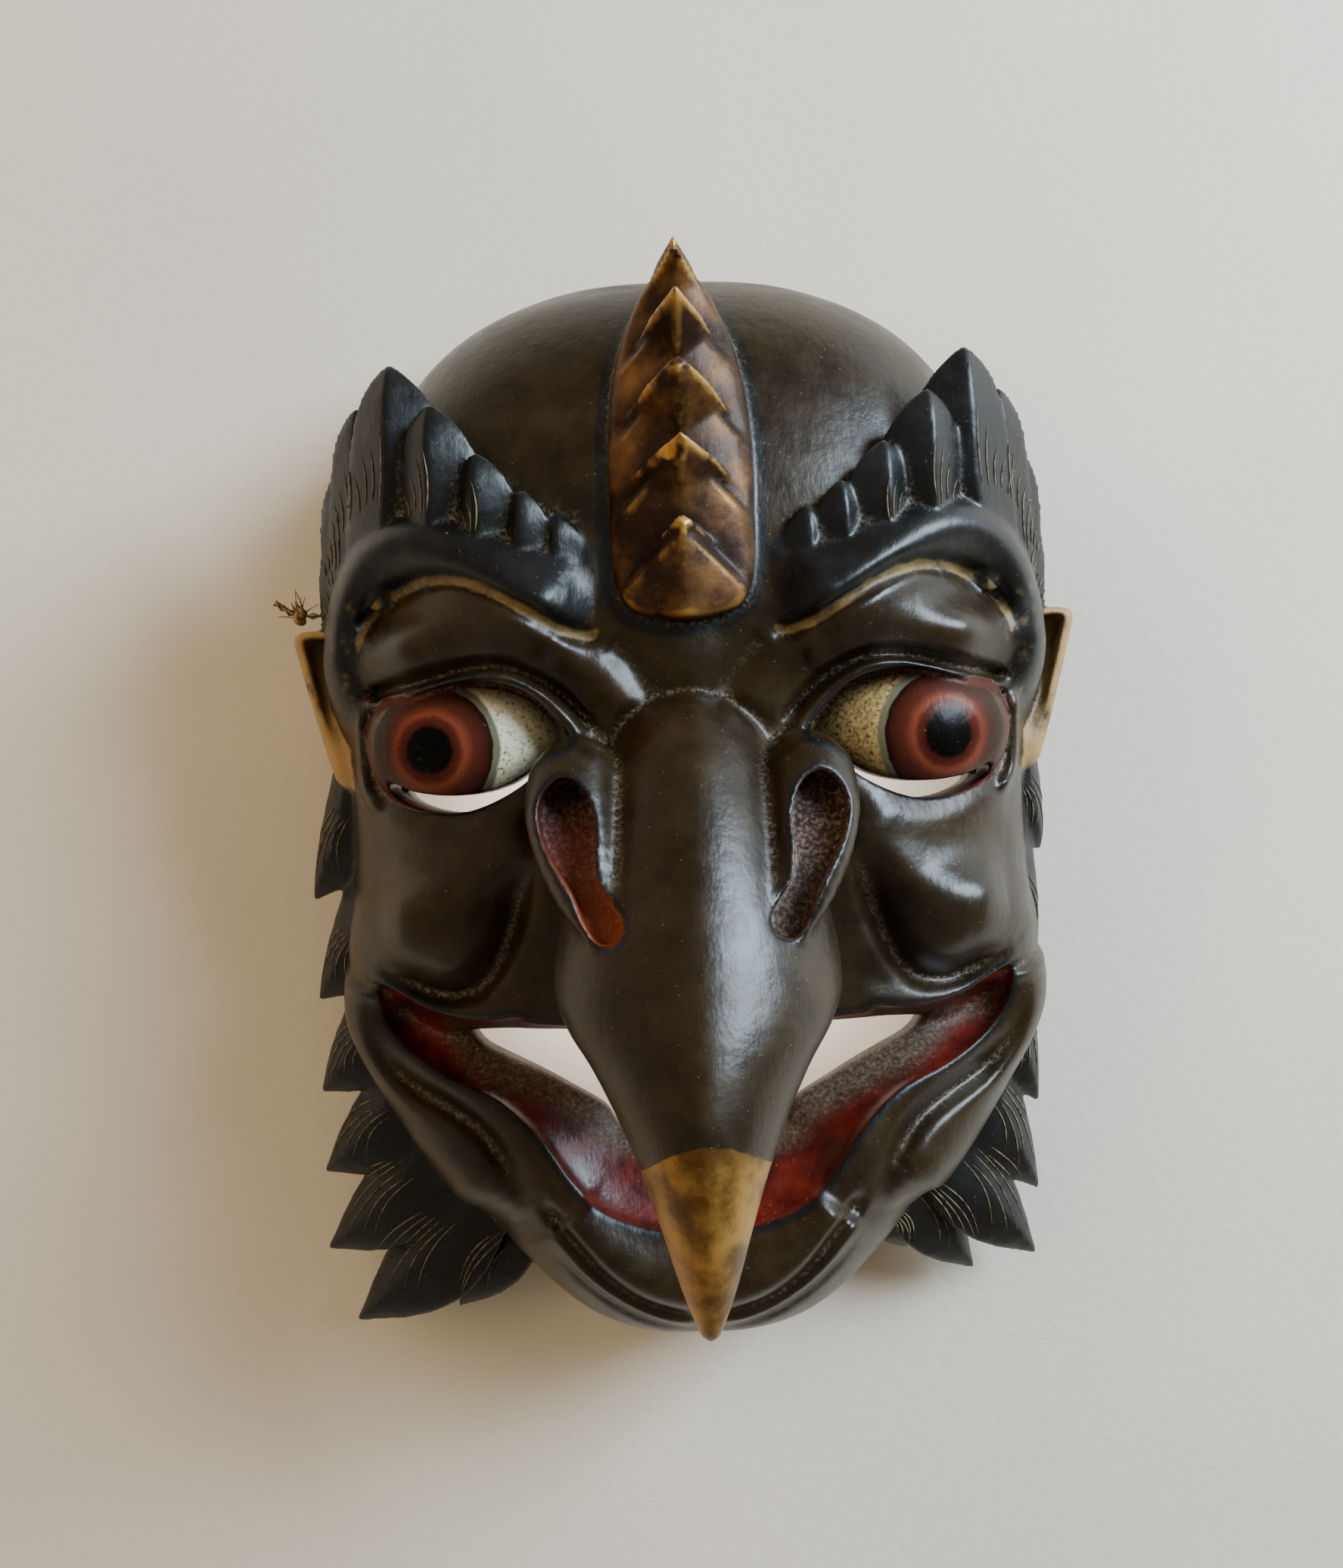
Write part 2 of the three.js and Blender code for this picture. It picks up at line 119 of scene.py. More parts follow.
LEFT_JAW_FEATHERS = [
    ((63, 6, 22), (74.6, -20.6, 13.5), 8, 4.4, 3), ((62, -18, 20), (74.6, -40.6, 12), 8, 4.2, 3),
    ((60, -38, 19), (74.8, -59, 11.4), 8.5, 4.2, 3), ((55, -53, 19), (74.8, -75, 11), 9, 4.2, 3.4),
    ((49, -63, 19), (74.8, -90.6, 10.4), 10, 4.4, 4), ((41, -70, 19), (69.6, -105.4, 9.4), 11, 4.6, 4.6),
    ((33, -78, 17), (49.4, -103.4, 9), 6.4, 3.8, 2.4),
]
RIGHT_JAW_FEATHERS = [
    ((63, 6, 22), (68.8, -15.2, 15.4), 7, 4.4, 2.4), ((62, -12, 21), (67.6, -36, 14), 7, 4.2, 2.4),
    ((59, -32, 20), (67.6, -65.4, 12), 8.5, 4.2, 3), ((54, -50, 20), (67.4, -83, 11), 9, 4.2, 3.4),
    ((47, -62, 19), (66.6, -96.2, 10), 10, 4.6, 4), ((39, -70, 18), (54.2, -99, 9.4), 8.4, 4.2, 3),
    ((33, -78, 16), (41, -94.6, 9), 4.6, 3.6, 1.4),
]
CREST_FLAMES = [  # foot and tip of each front slope, as (y, z), and its half width
    ((20, 64), (42.6, 82), 10.8), ((39.5, 72), (54.6, 84.6), 10.6), ((51.5, 71), (67, 84), 9.6),
    ((64, 66), (79, 79.4), 7.8), ((76.5, 58), (90, 69.8), 5.6),
]
CREST_PAD = [
    (0, 26.6), (5.6, 27.4), (9.6, 29.6), (11.4, 35), (11.8, 45), (11.9, 56), (11, 67), (8.6, 77), (4.8, 85),
    (0, 88.6),
]
CREST_OUTLINE = CREST_PAD + [(-x, y) for x, y in CREST_PAD[-2:0:-1]]
TRIM_SIDE = [(0, 26), (7, 27), (12.6, 32), (13, 60), (11.6, 74), (7.6, 84), (3, 93), (0, 97)]
CREST_TRIM = TRIM_SIDE + [(-x, y) for x, y in TRIM_SIDE[-2:0:-1]]
BROW_BLACK = [
    (57.6, 14), (57.4, 24), (55.2, 30.4), (50.4, 34.6), (44, 36), (38, 35.4), (32, 33), (26, 29.4), (21, 26.6),
    (17.6, 26.4), (15.4, 29.4), (15.6, 34), (20, 40), (30, 44), (42, 50), (54, 52), (62, 48), (66, 36), (66, 20),
    (62, 13),
]

CORD_ROUTE = [  # repeats the solid cord's own path
    (-76.5, 36.5, 31.5), (-72.2, 34, 30), (-64, 34, 30), (-56, 34, 30), (-49.5, 34, 29.6), (-45.5, 31.5, 24),
    (-44.5, 27, 12), (-43.5, 21, 3.6), (-40, 13.5, 1.2), (-33, 7, 1.1), (-24, 4, 1.1),
]
CORD_RADIUS = 0.8


# ---- Curves and distances ------------------------------------------------------------------------
def spline(points, count):
    """Points of a smooth curve through the given ones, in any number of dimensions."""
    p = np.asarray(points, float)
    p = np.vstack([2 * p[0] - p[1], p, 2 * p[-1] - p[-2]])
    t = np.linspace(0, len(points) - 1, count)
    i = np.minimum(t.astype(int), len(points) - 2)
    u = (t - i)[:, None]
    a, b, c, d = p[i], p[i + 1], p[i + 2], p[i + 3]
    return 0.5 * (2 * b + (c - a) * u + (2 * a - 5 * b + 4 * c - d) * u**2 + (3 * b - a - 3 * c + d) * u**3)


def smoothstep(low, high, value):
    t = np.clip((value - low) / (high - low), 0, 1)
    return t * t * (3 - 2 * t)


def soft_min(a, b, k):
    """The union of two distance fields, with a fillet about k wide."""
    h = np.maximum(k - np.abs(a - b), 0) / k
    return np.minimum(a, b) - h * h * k / 4


def soft_max(a, b, k):
    return -soft_min(-a, -b, k)


def along_path(points, x, y, count=28):
    """(gap, side, along) of (x, y) to a smooth path: gap in mm, side plus on the left, along 0 to 1."""
    line = spline(points, count)
    shape = np.broadcast(x, y).shape
    gap = np.full(shape, 1e9)
    side = np.ones(shape)
    along = np.zeros(shape)
    for i, ((ax, ay), (bx, by)) in enumerate(zip(line[:-1], line[1:])):
        dx, dy = bx - ax, by - ay
        t = np.clip(((x - ax) * dx + (y - ay) * dy) / (dx * dx + dy * dy), 0, 1)
        ox, oy = x - ax - t * dx, y - ay - t * dy
        d = np.hypot(ox, oy)
        near = d < gap
        gap = np.where(near, d, gap)
        side = np.where(near, np.sign(dx * oy - dy * ox), side)
        along = np.where(near, (i + t) / (count - 1), along)
    return gap, side, along


def outline_distance(outline, x, y, smooth=True, per_point=4):
    """Signed distance to a closed outline, minus inside."""
    ring = np.asarray(outline, float)
    if smooth:
        n = len(ring)
        wrapped = np.vstack([ring[-2:], ring, ring[:3]])
        ring = spline(wrapped, (n + 4) * per_point + 1)[2 * per_point: (n + 2) * per_point]
    shape = np.broadcast(x, y).shape
    gap = np.full(shape, 1e9)
    inside = np.zeros(shape, bool)
    for (ax, ay), (bx, by) in zip(ring, np.roll(ring, -1, 0)):
        dx, dy = bx - ax, by - ay
        t = np.clip(((x - ax) * dx + (y - ay) * dy) / (dx * dx + dy * dy + 1e-12), 0, 1)
        gap = np.minimum(gap, np.hypot(x - ax - t * dx, y - ay - t * dy))
        if ay != by:
            crosses = (ay > y) != (by > y)
            inside ^= crosses & (x < ax + (y - ay) * dx / dy)
    return np.where(inside, -gap, gap)


def both_halves(upper, lower):
    """A full outline from the right half's two edges, each listed from the corner to the middle."""
    right = list(reversed(upper)) + list(lower)
    left = [(-x, y) for x, y in reversed(right) if x > 0]
    return right + left


# ---- The carving's relief: heights in mm over the plain head -------------------------------------
def ridge(x, y, points, width, height, taper, lean):
    """A rounded ridge (or groove, if height is minus) along a path. lean makes one side steeper."""
    gap, side, along = along_path(points, x, y)
    ends = smoothstep(-0.25, 1, along / taper) * smoothstep(-0.25, 1, (1 - along) / taper)
    reach = width * (1 + lean * side)
    return height * ends * np.exp(-((gap / reach) ** 2))


def swell(x, y, cx, cy, rx, ry, height):
    r = ((x - cx) / rx) ** 2 + ((y - cy) / ry) ** 2
    return height * np.clip(1 - r, 0, 1) ** 2


GOLD_LINE = [
    (57, 24.6), (56.4, 27.6), (54.6, 31), (50.4, 34), (44, 35.4), (38, 34.8), (32, 32.4), (26, 28.8), (21, 26),
    (16.6, 24.8), (14.6, 25.6),
]
RIDGES = [  # path, width, height (minus for a groove), how far the ends fade in, lean
    # brow roll, the groove under it, the hooded lid, its crease and the roll along its edge
    ([(62, 8), (63, 20), (61.4, 31), (56.6, 38.6), (49.4, 41.8), (42, 40.6), (35, 37), (28, 32.6), (21.4, 29.2),
      (15, 28)], 6.8, 7.6, 0.16, -0.08),
    (GOLD_LINE[1:], 1.5, -2.4, 0.16, 0),
    ([(56, 19), (51.6, 23), (46, 24.6), (39, 25.4), (32.6, 24.8), (26.6, 22.2), (21, 17.6)], 6.6, 6.0, 0.34, 0),
    ([(57, 17.4), (51, 18), (46, 18.8), (40.3, 20), (34.8, 20.6), (29, 19.9), (23.4, 17.2), (19.4, 13.8),
      (16, 9.6)], 1.0, -3.6, 0.08, 0),
    ([(57, 15.4), (51, 16.3), (46, 17), (40, 18.4), (34.6, 19), (29.4, 18.2), (24.2, 15.4), (20, 11), (17.6, 7)],
     1.7, 2.2, 0.08, 0),
    # frown between the brows and the folds running from the inner eye to the bridge
    ([(9, 12), (12.6, 16.4), (17, 20), (23, 22.6)], 3.4, 1.6, 0.16, 0),
    ([(6.6, 14), (9.2, 20), (13, 24)], 2.4, -1.0, 0.16, 0),
    # the corner and lower lid of the eye
    ([(57.6, 15), (58.6, 8), (58, 1), (55, -3.6)], 1.6, 2.2, 0.16, 0),
    ([(58, -4), (52, -5), (46, -7), (40, -7.6), (34, -6), (29, -2.4), (26, 1.4)], 3.4, 1.5, 0.16, 0),
    # cheek and its fold
    ([(25, -6), (31, -12.6), (39, -16.6), (48, -18.6), (56, -19.4)], 7, 4.4, 0.2, 0),
    ([(25.6, -9), (29.4, -17), (32, -24.6), (35, -31), (39, -34.8), (44.5, -35.8), (50.5, -33.6), (56.6, -30.2)],
     2.9, -4.0, 0.2, 0.3),
    # upper and lower lip, chin and its grooves
    ([(59, -33), (53, -34.8), (48, -37.2), (42, -38.8), (36, -39), (31, -38.6), (28, -39.6)], 2.6, 1.0, 0.2, 0),
    ([(59.6, -34), (60.4, -39), (58.2, -45), (53.4, -50), (47.2, -53.6), (41.2, -56.4), (36, -59.4), (31.4, -64),
      (26.6, -70.4), (21, -77), (14.6, -81), (7, -83.6), (0, -84.4)], 8, 2.7, 0.04, 0),
    ([(25, -75), (18.6, -82), (10, -87.4), (0, -89.6)], 6, 3.2, 0.08, 0),
    ([(28.4, -72), (26.6, -75), (23, -79.4), (17.4, -86.3), (10.6, -91.4), (4, -93.8), (0, -94.2)],
     1.5, -2.4, 0.3, 0),
    ([(29, -76), (22.4, -85), (15, -91.6), (7, -95.6), (0, -96.4)], 2.2, 0.9, 0.3, 0),
    ([(28, -79), (23, -86), (16, -92), (8, -96.4), (0, -97.8)], 1.3, -1.5, 0.3, 0),
    # jowl and its groove
    ([(64, -22), (65.6, -35), (64, -47), (59, -57), (51.6, -64), (44.4, -69), (39, -73), (36, -79)],
     9.6, 6.4, 0.26, 0),
    ([(59.4, -40), (57.4, -47), (52, -53), (45.5, -56.4), (39.5, -60), (35.4, -64.8), (32.4, -70.4), (31.4, -76)],
     2.6, -2.4, 0.4, -0.25),
]
SWELLS = [  # middle, reach across and up, height: forehead, lid, frown, cheek
    ((0, 40), (44, 30), 1.5), ((48.5, 23), (11, 7.5), 1.8), ((0, 21), (8, 8), 1.2), ((49, -27), (22, 14), 6.4),
]


def face_relief(x, y):
    """All of the low carving of the right half."""
    swells = sum(swell(x, y, *middle, *reach, height) for middle, reach, height in SWELLS)
    return swells + sum(ridge(x, y, *row) for row in RIDGES)


# Share of the full size from root (0) to tip (1) of a feather, and the width and thickness of a crest flame.
LEAF = (
    (0, 0.86), (0.2, 0.97), (0.4, 1), (0.58, 0.95), (0.72, 0.83), (0.83, 0.65), (0.91, 0.44), (0.97, 0.22),
    (1, 0.05),
)
JAW_LEAF = ((0, 0.85), (0.2, 0.96), (0.38, 1), (0.55, 0.92), (0.7, 0.72), (0.82, 0.48), (0.92, 0.22), (1, 0.04))
FLAME = ((0, 1), (0.4, 1), (0.6, 0.84), (0.78, 0.56), (0.9, 0.28), (1, 0.04))
WEDGE = ((0, 1), (1, 0.03))


# ---- Carving block: a distance field on a grid, minus inside the wood ----------------------------
class Block:
    """One distance field, in mm, over a box of wood. Half a block has x from 0 and is mirrored when done."""

    def __init__(self, low, high, grid):
        self.grid = grid
        self.low = np.array(low, float)
        self.axes = [np.arange(l, h + grid / 2, grid, dtype=np.float32) for l, h in zip(low, high)]
        self.x, self.y, self.z = np.ix_(*self.axes)

    def window(self, low, high):
        first = [max(int(np.floor((l - a[0]) / self.grid)), 0) for l, a in zip(low, self.axes)]
        last = [max(int(np.ceil((h - a[0]) / self.grid)) + 1, 1) for h, a in zip(high, self.axes)]
        cut = tuple(slice(start, end) for start, end in zip(first, last))
        return cut, self.x[cut[0]], self.y[:, cut[1]], self.z[:, :, cut[2]]

    def true_distance(self, level):
        """Divides a level set by its slope, so that it reads as millimetres near zero."""
        slope = np.zeros_like(level)
        for axis in range(3):
            g = np.gradient(level, self.grid, axis=axis)
            slope += g * g
        return level / np.sqrt(np.maximum(slope, 1e-4))

    def dome(self, table, squareness):
        rows = spline(table, 400)
        width = np.maximum(np.interp(self.y, rows[:, 0], rows[:, 1], 0.4, 0.4), 0.4)
        height = np.maximum(np.interp(self.y, rows[:, 0], rows[:, 2], 0.4, 0.4), 0.4)
        across = (np.abs(self.x) / width) ** squareness
        out = (np.abs(self.z) / height) ** squareness
        level = (across + out).astype(np.float32) ** np.float32(1 / squareness) - 1
        return self.true_distance(np.minimum(level, 4).astype(np.float32))

    def beak(self):
        rows = spline(BEAK, 200)[::-1]
        y = np.clip(self.y, rows[0, 0], rows[-1, 0])
        half, top, foot = (np.interp(y, rows[:, 0], rows[:, i]) for i in (1, 2, 3))
        middle, reach = (top + foot) / 2, (top - foot) / 2
        across = (np.abs(self.x) / half) ** BEAK_ROUNDNESS
        out = (np.abs(self.z - middle) / reach) ** BEAK_ROUNDNESS
        level = (across + out).astype(np.float32) ** np.float32(1 / BEAK_ROUNDNESS) - 1
        d = self.true_distance(np.minimum(level, 4).astype(np.float32))
        ends = np.maximum(rows[0, 0] - self.y, self.y - rows[-1, 0])
        return soft_max(d, ends.astype(np.float32) + 0 * d, 1.6)

    def tube(self, points, radii, count=14):
        """(window, distance) of a tapering round bar along a curve."""
        line = spline(points, count)
        r = np.interp(np.linspace(0, 1, count), np.linspace(0, 1, len(radii)), radii)
        pad = r.max() + 6
        cut, x, y, z = self.window(line.min(0) - pad, line.max(0) + pad)
        best = np.full(np.broadcast(x, y, z).shape, 1e3, np.float32)
        for a, b, ra, rb in zip(line[:-1], line[1:], r[:-1], r[1:]):
            d = b - a
            t = np.clip(((x - a[0]) * d[0] + (y - a[1]) * d[1] + (z - a[2]) * d[2]) / (d @ d), 0, 1)
            gap = np.sqrt(sum((p - a[i] - t * d[i]) ** 2 for i, p in enumerate((x, y, z))))
            best = np.minimum(best, gap - ra - t * (rb - ra))
        return cut, best

    def ball(self, centre, radii):
        low = np.array(centre) - radii - 6
        cut, x, y, z = self.window(low, np.array(centre) + radii + 6)
        level = np.sqrt(((x - centre[0]) / radii[0]) ** 2 + ((y - centre[1]) / radii[1]) ** 2
                        + ((z - centre[2]) / radii[2]) ** 2)
        slope = np.sqrt(((x - centre[0]) / radii[0] ** 2) ** 2 + ((y - centre[1]) / radii[1] ** 2) ** 2
                        + ((z - centre[2]) / radii[2] ** 2) ** 2)
        return cut, (level - 1) * level / np.maximum(slope, 1e-4)

    def blade(self, root, tip, width, thick, face, bow, crease=1.25, leaf=LEAF, swelling=LEAF):
        """(window, distance) of a pointed leaf with a spine on its broad side. leaf and swelling give the
        share of the full width and thickness from root (0) to tip (1)."""
        root, tip = np.array(root, float), np.array(tip, float)
        axis = tip - root
        length = np.linalg.norm(axis)
        axis /= length
        across = np.cross(face, axis)
        across /= np.linalg.norm(across)
        over = np.cross(axis, across)
        pad = width + 5
        cut, x, y, z = self.window(np.minimum(root, tip) - pad, np.maximum(root, tip) + pad)
        u = ((x - root[0]) * axis[0] + (y - root[1]) * axis[1] + (z - root[2]) * axis[2]) / length
        v = (x - root[0]) * across[0] + (y - root[1]) * across[1] + (z - root[2]) * across[2]
        w = (x - root[0]) * over[0] + (y - root[1]) * over[1] + (z - root[2]) * over[2]
        v = v - bow * np.sin(np.pi * np.clip(u, 0, 1))
        wide = width * np.interp(u, *np.transpose(leaf))
        deep = thick * np.interp(u, *np.transpose(swelling))
        spread = (np.abs(v) * deep / wide) ** crease + np.abs(w) ** crease
        d = (spread ** (1 / crease) - deep) / math.hypot(1, 0.35)
        d = np.maximum(d, np.maximum((u - 1) * length, (-0.15 - u) * length))
        return cut, d.astype(np.float32)


def join(field, part, blend):
    cut, d = part
    field[cut] = soft_min(field[cut], d, blend)


def carve(field, part, blend):
    cut, d = part
    field[cut] = soft_max(field[cut], -d, blend)


def flame(foot, tip, half_width, embed=12, depth=16):
    """Arguments of the blade whose front slope climbs from foot to tip."""
    slope = np.array((0.0, tip[0] - foot[0], tip[1] - foot[1]))
    slope /= np.linalg.norm(slope)
    outward = np.array((0.0, -slope[2], slope[1]))
    start = np.array((0.0, *foot)) - embed * slope - depth * outward
    return start, (0.0, *tip), half_width, depth, outward, 0.0


class Carving:
    """The whole mask as distance fields: what is left of the block, and the pieces its paint follows."""

    def __init__(self, grid):
        half = Block((0, -112, -4 * grid), (84, 100, 112), grid)
        self.half = half
        flat_x, flat_y = half.x[:, :, 0].astype(float), half.y[:, :, 0].astype(float)
        fade = smoothstep(6, 24, half.z)
        head = half.dome(HEAD, SQUARENESS)
        head = (head - face_relief(flat_x, flat_y)[:, :, None] * fade).astype(np.float32)

        wood = head.copy()
        eye = outline_distance(EYE_OUTLINE, flat_x, flat_y)[:, :, None].astype(np.float32)
        wood = soft_max(wood, -np.maximum(eye, -(head + 9)), 0.8)
        join(wood, half.ball(np.array(EYE_CENTRE), np.array(EYE_RADII)), 0.4)
        slit = outline_distance(SLIT_OUTLINE, flat_x, flat_y)[:, :, None]
        wood = soft_max(wood, -np.maximum(slit, 20 - half.z), 0.5)

        self.unopened = wood.copy()
        mouth = outline_distance(both_halves(UPPER_LIP, LOWER_LIP), flat_x, flat_y)[:, :, None]
        throat = outline_distance(both_halves(THROAT_UPPER, THROAT_LOWER), flat_x, flat_y)[:, :, None]
        open_wide = smoothstep(9.5, 0.5, -self.unopened)
        wood = soft_max(wood, -np.maximum(throat * (1 - open_wide) + mouth * open_wide, 14 - half.z), 0.9)

        self.without_beak = wood.copy()
        beak = half.beak()
        fillet = np.interp(half.y, (-50, -36, -12, 4, 14), (1.5, 5, 6, 3, 1))
        wood = soft_min(wood, beak, fillet)
        join(wood, half.tube(NOSTRIL_ROLL, NOSTRIL_ROLL_RADII), 2.4)
        self.plain_beak = wood.copy()
        nostril = outline_distance(NOSTRIL, flat_x, flat_y)[:, :, None]
        floor = np.interp(half.y, (-24, -12, -2, 6), (87.5, 83, 77.5, 73))
        wood = soft_max(wood, -np.maximum(nostril, floor - half.z), 0.5)

        self.without_ear = wood.copy()
        self.carve_ear(wood)
        self.without_crest = wood.copy()
        wood = soft_min(wood, self.crest_field(head, flat_x, flat_y), 0.6)
        feathers = np.full_like(wood, 40)
        for root, tip, width, thick, bow in BROW_FEATHERS:
            part = half.blade(root, tip, 1.14 * width, 1.1 * thick, (0.3, 0, 1), bow, crease=1.05)
            join(feathers, part, 0.15)
        wood = soft_min(wood, feathers, 0.6)
        self.finish_whole(grid, wood, feathers)

    def carve_ear(self, wood):
        cut, x, y, z = self.half.window((52, -4, 6), (80, 36, 46))
        up = np.clip((y - 2) / 28, 0, 1)
        outer = 66.2 + 7.4 * up ** 0.9
        slab = soft_max(np.maximum(x - outer, 54 - x), np.abs(z - 25 + 0.12 * (y - 16)) - 7 - 5 * up, 5)
        slab = soft_max(slab, np.maximum(y - 30.8, 1 - y), 2.6)
        hollow = soft_max(np.abs(x - outer + 5.4) - 2.9, 29 - 0.3 * (y - 4) - (z - 6), 1.5)
        hollow = soft_max(hollow, np.maximum(6 - y, y - 29.2), 1.5)
        slab = soft_max(slab, -hollow, 1.0)
        wood[cut] = soft_min(wood[cut], slab, 1.0)

    def crest_field(self, head, flat_x, flat_y):
        """A pad with a steep roof cut into chevron steps, and a free point over each step."""
        pad = outline_distance(CREST_OUTLINE, flat_x, flat_y)[:, :, None]
        tips = [tip[0] for _, tip, _ in CREST_FLAMES]
        off = np.clip(flat_x / 12, 0, 1)
        level = np.interp(flat_y + 0.95 * flat_x, [20] + tips, range(len(tips) + 1))
        step = level - np.floor(level)
        climb = np.clip(step / 0.9, 0, 1) * smoothstep(0, 0.1, 1 - step)
        roof = 1.2 + 4.6 * (1 - off) + (0.8 + 3.4 * (1 - off)) * climb * smoothstep(1.02, 0.75, off)
        crest = soft_max((pad + 0 * head).astype(np.float32), head - roof[:, :, None].astype(np.float32), 1.6)
        heights = [tip[1] for _, tip, _ in CREST_FLAMES]
        ceiling = np.interp(self.half.y, [20] + tips, [78] + heights) - 0.25 * self.half.x
        crest = soft_max(crest, (self.half.z - ceiling).astype(np.float32), 1.0)
        for foot, tip, half_width in CREST_FLAMES:
            part = self.half.blade(*flame(foot, tip, half_width), crease=1.12, leaf=FLAME, swelling=WEDGE)
            join(crest, part, 0.9)
        trimmed = outline_distance(CREST_TRIM, flat_x, flat_y)[:, :, None]
        return soft_max(crest, (trimmed + 0 * head).astype(np.float32), 1.2)

    def finish_whole(self, grid, wood, feathers):
        """Mirrors the half, adds what differs from side to side, and opens the hollow behind."""
        whole = Block((-84, -112, -4 * grid), (84, 100, 112), grid)
        whole.low[0] = whole.axes[0][0] = -self.half.axes[0][-1]
        whole.axes[0] = np.concatenate([-self.half.axes[0][:0:-1], self.half.axes[0]])
        whole.x, whole.y, whole.z = np.ix_(*whole.axes)
        self.whole = whole
        self.grid = grid
        mirror = lambda field: np.concatenate([field[:0:-1], field])
        wood, feathers = mirror(wood), mirror(feathers)
        for side, rows in ((-1, LEFT_JAW_FEATHERS), (1, RIGHT_JAW_FEATHERS)):
            for root, tip, width, thick, bow in rows:
                start, end = (side * root[0], *root[1:]), (side * tip[0], *tip[1:])
                part = whole.blade(start, end, width, thick, (side * 0.55, 0, 0.85), -side * bow, crease=1.3,
                                   leaf=JAW_LEAF)
                join(feathers, part, 0.5)
                join(wood, part, 1.2)
        carve(wood, whole.ball(np.array((-3.4, 51.6, 84.6)), np.array((4.6, 3.6, 3.8))), 0.3)
        carve(wood, whole.ball(np.array((0.4, 66.9, 83.8)), np.array((2.2, 1.6, 1.5))), 0.3)
        carve(wood, whole.ball(np.array((1.2, 42.4, 81.8)), np.array((2.4, 1.4, 1.5))), 0.3)
        wood = soft_max(wood, -whole.z, 0.6)
        self.solid = wood.copy()
        hollow = mirror(self.half.dome(HOLLOW, HOLLOW_SQUARENESS))
        wood = soft_max(wood, -hollow, 1.0)
        carve(wood, whole.tube([(-76, 34, 30), (-40, 34, 30)], (1.7, 1.7), count=2), 0.3)
        self.wood, self.feathers = wood.astype(np.float32), feathers


# ---- From the field to a mesh --------------------------------------------------------------------
CELL_CORNERS = [(i, j, k) for i in (0, 1) for j in (0, 1) for k in (0, 1)]


def sample(field, axes, points, mirrored=False):
    """The field between its grid points."""
    p = points.copy()
    if mirrored:
        p[:, 0] = np.abs(p[:, 0])
    corner, part = [], []
    for i, axis in enumerate(axes):
        t = np.clip((p[:, i] - axis[0]) / (axis[1] - axis[0]), 0, len(axis) - 1.001)
        corner.append(t.astype(int))
        part.append(t - corner[-1])
    total = 0
    for step in CELL_CORNERS:
        weight = math.prod(p if up else 1 - p for p, up in zip(part, step))
        total = total + weight * field[tuple(c + up for c, up in zip(corner, step))]
    return total


def surface_net(field, axes):
    """Vertices and quads of the surface where the field is zero: one vertex in each cell it crosses."""
    nx, ny, nz = field.shape
    inside = field < 0
    count = sum(inside[i:nx - 1 + i, j:ny - 1 + j, k:nz - 1 + k].astype(np.uint8)
                for i, j, k in CELL_CORNERS)
    active = (count > 0) & (count < 8)
    index = np.full(active.shape, -1, np.int64)
    cells = np.argwhere(active)
    index[active] = np.arange(len(cells))
    total, hits = np.zeros((len(cells), 3)), np.zeros(len(cells))
    value = {c: field[tuple((cells + c).T)] for c in CELL_CORNERS}
    for a in CELL_CORNERS:
        for axis in range(3):
            if a[axis]:
                continue
            b = tuple(v + (i == axis) for i, v in enumerate(a))
            va, vb = value[a], value[b]
            cross = (va < 0) != (vb < 0)
            t = np.where(cross, va / np.where(cross, va - vb, 1), 0)
            point = np.array(a, float) + t[:, None] * (np.array(b) - np.array(a))
            total += point * cross[:, None]
            hits += cross
    points = cells + total / hits[:, None]
    quads = []
    for axis in range(3):
        u, v = (axis + 1) % 3, (axis + 2) % 3
        near = [slice(None)] * 3
        far = [slice(None)] * 3
        near[axis], far[axis] = slice(None, -1), slice(1, None)
        for i in (u, v):
            near[i] = far[i] = slice(1, -1)
        a, b = inside[tuple(near)], inside[tuple(far)]
        for flip, mask in ((False, a & ~b), (True, ~a & b)):
            at = np.argwhere(mask)
            at[:, u] += 1
            at[:, v] += 1
            ring = []
            for du, dv in ((1, 1), (0, 1), (0, 0), (1, 0)):
                c = at.copy()
                c[:, u] -= du
                c[:, v] -= dv
                ring.append(index[tuple(c.T)])
            quad = np.stack(ring, 1)
            quads.append(quad[:, ::-1] if flip else quad)
    low = np.array([axis[0] for axis in axes])
    return low + points * (axes[0][1] - axes[0][0]), np.concatenate(quads)


def settle(points, field, slopes, axes, rounds=3):
    """Moves points onto the surface, along the field's slope, and returns them with their normals."""
    for _ in range(rounds):
        gradient = np.stack([sample(s, axes, points) for s in slopes], 1)
        size = np.maximum((gradient**2).sum(1), 0.05)
        move = (sample(field, axes, points) / size)[:, None] * gradient
        length = np.linalg.norm(move, axis=1)[:, None]
        points = points - move * np.minimum(1, 0.5 / np.maximum(length, 1e-9))
    normals = np.stack([sample(s, axes, points) for s in slopes], 1)
    return points, normals / np.linalg.norm(normals, axis=1)[:, None]


def new_mesh(name, points, faces):
    """A mesh from arrays, each face with the same number of corners."""
    mesh = bpy.data.meshes.new(name)
    sides = faces.shape[1]
    mesh.vertices.add(len(points))
    mesh.vertices.foreach_set("co", np.asarray(points, np.float32).ravel())
    mesh.loops.add(faces.size)
    mesh.loops.foreach_set("vertex_index", faces.astype(np.int32).ravel())
    mesh.polygons.add(len(faces))
    mesh.polygons.foreach_set("loop_start", np.arange(0, faces.size, sides, dtype=np.int32))
    mesh.update(calc_edges=True)
    return mesh


